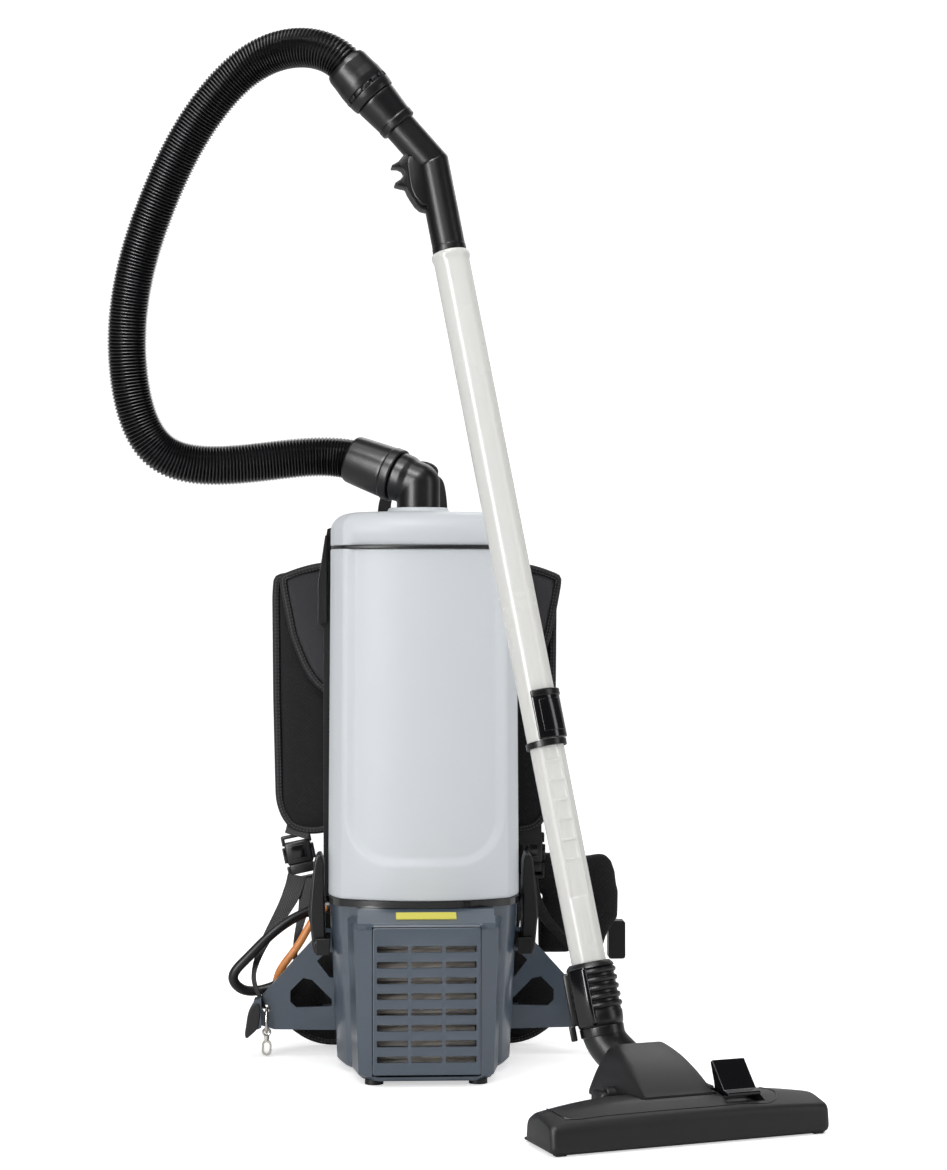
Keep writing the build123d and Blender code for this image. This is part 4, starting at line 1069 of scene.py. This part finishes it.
def make_latches():
    """Long levers with rounded ends, each with a raised spine."""
    for name, side in (("latch_left", -1), ("latch_right", 1)):
        parts = []
        for outline, corner, half, bevel in ((LEVER_OUTLINE, 5.0, 18, 2.2), (SPINE_OUTLINE, 4.0, 9, 1.2)):
            line = [(side * x, z) for x, z in outline_path(outline, 2.0, True, corner)[:-1]]
            parts.append(slab("lever", line, -half, half, BLACK, bevel))
        pin = joint_place(name + "_swing")[0] + Vector((0, -18.4, 0)) * MM
        eye = round_profile([(0, 2.6), (0, 6.6), (36.8, 6.6), (36.8, 2.6)], 1.2)
        parts.append(lathe("eye", pin, (0, 1, 0), eye, BLACK, segments=40))
        piece = join_pieces(name + "_shaped", parts, JOINTS[name + "_swing"]["child"])
        stands_for(piece, "black_plastic", name)


# ---------------------------------------------------------------- soft goods
def swell(piece, cap):
    """Short cloth simulation under pressure; no point moves by more than the cap in mm."""
    rest = np.array([vert.co for vert in piece.data.vertices])
    settings = piece.modifiers.new("cloth", "CLOTH").settings
    settings.use_pressure = True
    settings.uniform_pressure_force = 4.0
    settings.effector_weights.gravity = 0
    settings.quality = 4
    piece.modifiers["cloth"].collision_settings.use_collision = False
    for step in range(1, 16):
        SCENE.frame_set(step)
    graph = bpy.context.evaluated_depsgraph_get()
    swollen = np.array([vert.co for vert in piece.evaluated_get(graph).data.vertices])
    piece.modifiers.clear()
    SCENE.frame_set(1)
    move = swollen - rest
    reach = np.linalg.norm(move, axis=1, keepdims=True)
    rest = rest + move * np.minimum(1.0, cap * MM / np.maximum(reach, 1e-9))
    piece.data.vertices.foreach_set("co", rest.ravel())


def puff(node, name, look, slot, cap, voxel):
    """Padded fabric: the node's solid, remeshed evenly, swollen, smoothed and subdivided once."""
    piece = bpy.data.objects.new(name, frame["nodes"][node].data.copy())
    SCENE.collection.objects.link(piece)
    remesh = piece.modifiers.new("even", "REMESH")
    remesh.mode = "VOXEL"
    remesh.voxel_size = voxel * MM
    apply_modifiers(piece)
    swell(piece, cap)
    piece.modifiers.new("smooth", "SMOOTH").iterations = 4
    piece.modifiers.new("fine", "SUBSURF").levels = 1
    apply_modifiers(piece)
    coat_all(piece, look)
    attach(piece, "body")
    stands_for(piece, slot, node)


def outward_normal(outline, index):
    """Outward normal of a closed counter-clockwise outline at one of its points."""
    before, after = outline[(index - 1) % len(outline)], outline[(index + 1) % len(outline)]
    tx, tz = after[0] - before[0], after[1] - before[1]
    length = math.hypot(tx, tz) or 1.0
    return tz / length, -tx / length


def edge_tape(outline, y0, y1):
    """Folded binding tape: a U-shaped band over the edge of a pad lying in the X-Z plane."""
    width, thick = 6.0, 1.4
    profile = [(width, y0), (width * 0.5, y0 - thick * 0.8), (0.3, y0 - thick * 0.5), (-thick, y0 + 2.0),
               (-thick * 1.2, (y0 + y1) / 2), (-thick, y1 - 2.0), (0.3, y1 + thick * 0.5),
               (width * 0.5, y1 + thick * 0.8), (width, y1)]
    rings = []
    for index, (x, z) in enumerate(outline):
        nx, nz = outward_normal(outline, index)
        rings.append([Vector((x - nx * inward, y, z - nz * inward)) * MM for inward, y in profile])
    return loft("tape", rings, BINDING, wrap=True, crisp=70)


def stitches(outline, y, inset, way):
    """Row of small raised stitches along an outline; way is -1 on a face towards -Y and 1 towards +Y."""
    pitch, length, radius = 3.6, 2.4, 0.5
    line = outline_path(outline, pitch, True, 1.0)
    verts, faces = [], []
    for (x, z), (next_x, next_z) in zip(line, line[1:]):
        span = math.hypot(next_x - x, next_z - z) or 1.0
        tx, tz = (next_x - x) / span, (next_z - z) / span
        base = len(verts)
        for along, lift, wide in ((-0.5, 0.0, 0.4), (-0.3, 1.0, 1.0), (0.3, 1.0, 1.0), (0.5, 0.0, 0.4)):
            for side, high in ((-1, 0.0), (0, 1.0), (1, 0.0)):
                out = side * radius * wide - inset
                verts.append(Vector((x + tx * length * along + tz * out, y + way * high * radius * 1.6 * lift,
                                     z + tz * length * along - tx * out)) * MM)
        faces += [[a, a + 1, a + 4, a + 3] for a in (base + 3 * row + k for row in range(3) for k in range(2))]
    return new_piece("stitch", verts, faces, THREAD)


def bound_edge(name, outline, y0, y1, corner):
    """Binding tape with two rows of stitches on both faces, round one pad."""
    area = sum(a[0] * b[1] - b[0] * a[1] for a, b in zip(outline, outline[1:] + outline[:1]))
    line = outline_path(outline if area > 0 else outline[::-1], 4.0, True, corner)
    parts = [edge_tape(line[:-1], y0, y1)]
    for inset in (1.5, 4.5):
        parts += [stitches(line, y0 - 1.0, inset, -1), stitches(line, y1 + 1.0, inset, 1)]
    stands_for(join_pieces(name, parts, "body"), "pad_fabric")


# Each side's shoulder strap: 1 is the viewer's right. The right-hand one sits closer to the canister.
SIDES = (("left", -1, 0), ("right", 1, -12))
STRAP_OUTLINE = [(88, 226), (106, 221), (122, 221.5), (135, 226), (145, 240), (149.5, 256), (152, 360),
                 (153, 470), (151.5, 487), (144, 490), (96, 492), (90, 484)]
YOKE_HALF = [(84, 362), (98, 367), (109, 375), (121, 392), (134, 424), (140.5, 456), (144.5, 478),
             (145.5, 488), (125, 496), (104, 501)]
LUMBAR_OUTLINE = [(-112, 3), (112, 3), (152, 34), (147, 62), (98, 120), (95, 212), (-95, 212), (-98, 120),
                  (-147, 62), (-152, 34)]


def make_pads():
    puff("yoke_pad", "yoke_felt_pad", FELT_AND_PAINTED_LIGHT, "pad_fabric", 2.5, 5)
    yoke_outline = YOKE_HALF + [(-x, z) for x, z in YOKE_HALF[::-1]]
    bound_edge("yoke_binding", yoke_outline, 95.2, 105.8, 10)
    puff("shoulder_straps", "shoulder_pads", PAD, "pad_fabric", 2.5, 5)
    for name, side, shift in SIDES:
        outline = [(side * (x + shift), z) for x, z in STRAP_OUTLINE]
        bound_edge(f"shoulder_binding_{name}", outline, 106.4, 119.6, 12)
        x = side * (120 + shift)
        fold = smooth_path(metres([(x, 103.5, 455), (x, 103.5, 476), (x, 108, 486), (x, 114, 478),
                                   (x, 115, 460)]), 40)
        stands_for(ribbon(f"shoulder_fold_{name}", fold, 46, PAD, 6, (1, 0, -0.22 * side)), "pad_fabric")
    puff("lumbar_pad", "lumbar_cushion", PAD, "pad_fabric", 4.0, 6)
    bound_edge("lumbar_binding", LUMBAR_OUTLINE, 97.5, 111.5, 22)
    puff("waist_wings", "waist_wing_pads", PAD, "pad_fabric", 3.0, 5)
    puff("dust_bag", "dust_bag_filled", BAG, "bag_paper", 4.0, 7)


# ---------------------------------------------------------------- webbing and buckles
BUCKLE_X, BUCKLE_Y, BUCKLE_Z, BUCKLE_TILT = 126, 111, 197, 12
TAIL_LINES = {
    "left": ([(-129, 108, 177), (-131, 105, 168), (-142, 91, 144), (-158, 72, 118), (-169, 56, 94),
              (-171, 46, 78), (-165, 39, 62), (-160, 40, 50)],
             [(-119, 109, 175), (-120, 105, 163), (-123, 95, 138), (-129, 84, 110), (-130, 79, 92)]),
    "right": ([(116, 109, 175), (117, 105, 163), (125, 92, 140), (146, 74, 114), (164, 54, 88), (167, 44, 66),
               (163, 40, 50)],
              [(109, 109, 175), (105, 105, 160), (101, 98, 142), (99, 92, 124), (100, 88, 105)]),
}


def buckle_parts(x, tilt):
    """Side-release buckle hanging from a shoulder pad: web bar, socket, prongs and lower bar."""
    across = Vector((math.cos(tilt), 0, math.sin(tilt)))
    up = Vector((-math.sin(tilt), 0, math.cos(tilt)))
    centre = Vector((x, BUCKLE_Y, BUCKLE_Z)) * MM
    # Each bar: place across, up and out of the buckle, half sizes across, up and out, look and bevel.
    bars = [(0, 21.5, 0, 15.5, 1.8, 3.4, BLACK, 1.4), (0, 4.0, 0, 13.6, 12.0, 4.8, BLACK, 2.2),
            (0, 5.0, -4.9, 8.0, 6.6, 0.5, GLOSSY, 0.3), (0, -12.6, 0, 12.4, 5.4, 3.8, BLACK, 1.4),
            (0, -23.0, 0, 15.0, 1.9, 3.0, BLACK, 1.2)]
    for end in (-1, 1):
        bars += [(end * 13.8, 17.5, 0, 1.7, 4.6, 3.0, BLACK, 0.8),
                 (end * 14.6, 3.0, 0, 1.9, 8.0, 3.0, GLOSSY, 0.8),
                 (end * 13.4, -14.0, 0, 2.0, 5.0, 3.2, BLACK, 0.8),
                 (end * 13.8, -21.0, 0, 1.6, 3.4, 2.6, BLACK, 0.8)]
    return [small_block(centre + across * (right * MM) + up * (high * MM) + Vector((0, out * MM, 0)), across,
                        up, half, look, bevel) for right, high, out, *half, look, bevel in bars]


def make_strap_hardware():
    """Buckles with the webbing above them, and the two loose ends of webbing below."""
    for name, side, shift in SIDES:
        leans = side < 0
        x = side * (BUCKLE_X + shift)
        tilt = math.radians(BUCKLE_TILT) if leans else 0.0
        buckle = join_pieces(f"release_buckle_{name}", buckle_parts(x, tilt), "body")
        stands_for(buckle, "black_plastic", *(("strap_buckle_sockets",
                                               "strap_buckle_prongs") if leans else ()))
        drift, low = (-4.4, 218) if leans else (0, 208)
        hang = smooth_path(metres([(x, 112, 236), (x + 0.4 * drift, 108, 224), (x + 0.8 * drift, 106, low)]),
                           12)
        stands_for(ribbon(f"buckle_hanger_{name}", hang, 25, WEBBING, 2.2), "webbing")
        long_line, short_line = TAIL_LINES[name]
        wide = 19.0 if leans else 13.0
        tail = ribbon(f"strap_tail_{name}", smooth_path(metres(long_line), 80),
                      lambda t: wide - (wide - 5) * min(1, max(0, t * 1.6 - 0.2)), WEBBING, 1.8,
                      lambda t: (1, -0.9 * t, 0.2 * side))
        stands_for(tail, "webbing", *(("strap_tails",) if leans else ()))
        free = ribbon(f"strap_free_end_{name}", smooth_path(metres(short_line), 50), lambda t: 14 - 10 * t,
                      WEBBING, 1.8)
        stands_for(free, "webbing")
    make_lug_wrap()


def make_lug_wrap():
    """Strap end folded round the left-hand lug and stitched to itself."""
    outline = [(-163.2, 50), (-165.5, 33), (-169, 28.5), (-178.4, 20.4), (-179.6, 26), (-176.6, 46),
               (-171.5, 56), (-165, 58)]
    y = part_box("hip_brackets")[0].y / MM
    wrap = slab("lug_wrap", outline_path(outline, 1.5, True, 3.0)[:-1], y - 1.6, y + 20.0, WEBBING, 1.4)
    stands_for(join_pieces("strap_end_fold", [wrap], "body"), "webbing")


def make_carry_handle():
    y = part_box("carry_handle")[0].y / MM + 2.5
    path = smooth_path(metres([(-38, y, 531), (-36, y, 570), (-12, y, 600), (12, y, 598), (20, y, 576),
                               (21, y, 531)]), 90)

    def across(t):
        turn = math.pi * t
        way = 1 if t < 0.5 else -1
        return way * math.cos(turn), 0.35, way * math.sin(turn)

    piece = ribbon("carry_handle_webbing", path, lambda t: 15 - 3 * math.sin(math.pi * t), WEBBING, 4.5,
                   across)
    stands_for(piece, "webbing", "carry_handle")


def make_cords():
    """Orange lead, and the black lead in its loop with strain reliefs and a socket."""
    orange = metres([(-96, 60, 152), (-106, 60, 143), (-127, 62, 110), (-146, 68, 82), (-150, 74, 68)])
    lead = pipe("orange_lead", smooth_path(orange, 60), 4.0, ORANGE, "body", 28)
    stands_for(lead, "orange_cord", "power_cord")
    loop = metres([(-97, 77, 147), (-124, 68, 141), (-155, 52, 122), (-180, 46, 98), (-192, 48, 80),
                   (-184, 54, 68), (-163, 59, 66), (-142, 58, 74), (-116, 62, 88)])
    parts = [pipe("black_lead", smooth_path(loop, 160, (-1, 0, -0.05)), 5.0, RUBBER, segments=32)]
    for place, reach in (((-94.5, 62, 152), 7), ((-94.5, 77, 147), 6.5)):
        profile = round_profile([(-5, 2), (-5, reach - 1.6), (0, reach), (1.2, reach), (1.2, 2)], 0.6)
        parts.append(lathe("relief", Vector(place) * MM, (1, 0, 0), profile, BLACK, segments=40))
    socket = round_profile([(0, 1), (0, 6.4), (2, 8), (20, 8), (22, 7), (24, 7), (24, 1)], 0.6)
    parts.append(lathe("lead_socket", Vector((-150, 76, 64.5)) * MM, (0, 0.04, -1), socket, BLACK,
                       segments=48))
    stands_for(join_pieces("black_lead_loop", parts, "body"), "black_rubber", "cord_loop")


# ---------------------------------------------------------------- stage, light and camera
def make_stage():
    """One pale sheet: a floor that curves up into a backdrop; to the camera it glows a little."""
    look = bpy.data.materials.new("pale_floor")
    look.use_nodes = True
    tree = look.node_tree
    shader = tree.nodes["Principled BSDF"]
    shader.inputs["Base Color"].default_value = (0.88, 0.88, 0.88, 1)
    shader.inputs["Roughness"].default_value = 0.75
    shader.inputs["Emission Color"].default_value = (1, 1, 1, 1)
    seen = add_node(tree, "ShaderNodeLightPath").outputs["Is Camera Ray"]
    tree.links.new(math_node(tree, "MULTIPLY", seen, 0.55), shader.inputs["Emission Strength"])
    front, rear, curve, top, half = -6, 2.2, 1.2, 6.0, 7
    profile = [(front, 0)] + [(rear + curve * math.sin(turn), curve - curve * math.cos(turn))
                              for turn in np.linspace(0, math.pi / 2, 24)] + [(rear + curve, top)]
    verts = [(x, y, z) for y, z in profile for x in (-half, half)]
    faces = [[2 * k, 2 * k + 1, 2 * k + 3, 2 * k + 2] for k in range(len(profile) - 1)]
    new_piece("stage_sheet", verts, faces, look)


def area_light(name, place, size, power, target=(0, 0, 0.45)):
    """Soft rectangular lamp that looks at a target."""
    data = bpy.data.lights.new(name, "AREA")
    data.shape = "RECTANGLE"
    data.size, data.size_y = size
    data.energy = power
    lamp = bpy.data.objects.new(name, data)
    lamp.location = place
    lamp.rotation_euler = (Vector(target) - Vector(place)).to_track_quat("-Z", "Y").to_euler()
    SCENE.collection.objects.link(lamp)
    return lamp


def make_light():
    """White surroundings that mirror darker than they shine, soft lamps, and two seen only as glints."""
    world = bpy.data.worlds.new("studio")
    world.use_nodes = True
    tree = world.node_tree
    background = tree.nodes["Background"]
    background.inputs[0].default_value = (1, 1, 1, 1)
    mirrored_ray = add_node(tree, "ShaderNodeLightPath").outputs["Is Glossy Ray"]
    dimmed = math_node(tree, "SUBTRACT", 0.41, math_node(tree, "MULTIPLY", mirrored_ray, 0.33))
    tree.links.new(dimmed, background.inputs[1])
    SCENE.world = world
    area_light("key_left", (-1.7, -2.2, 1.3), (0.7, 2.0), 29)
    area_light("fill_right", (1.9, -1.0, 0.9), (0.5, 1.9), 11)
    area_light("top", (-0.1, -0.5, 2.6), (1.6, 1.2), 22)
    area_light("rim_back", (0.6, 1.6, 1.8), (1.6, 1.0), 10)
    for glints in (area_light("glints_left", (-1.6, -1.9, 0.8), (0.6, 1.9), 58),
                   area_light("glints_high", (-0.6, -1.7, 2.9), (1.2, 0.4), 70, (0, 0, 0.8))):
        glints.visible_diffuse = False


def make_camera():
    """Long lens, level, a little left of the canister's middle."""
    data = bpy.data.cameras.new("camera")
    data.lens = 76.92
    data.sensor_width = 36
    camera = bpy.data.objects.new("camera", data)
    camera.location = (-0.0678, -2.4996, 0.479)
    camera.rotation_euler = (math.radians(90), 0, math.radians(-2.7))
    SCENE.collection.objects.link(camera)
    SCENE.camera = camera
    SCENE.view_settings.view_transform = "Standard"


# ---------------------------------------------------------------- assembly
for make in (make_canister, make_lid, make_hose, make_elbow, make_cuffs, make_handle, make_air_slider,
             make_tubes,
             make_release, make_collar, make_neck, make_hood, make_floor_head, make_latches, make_pads,
             make_strap_hardware, make_carry_handle, make_cords):
    make()
for node_name, (surface, bevel_width) in NODE_LOOKS.items():
    finish_node(node_name, surface, bevel_width)
make_stage()
make_light()
make_camera()
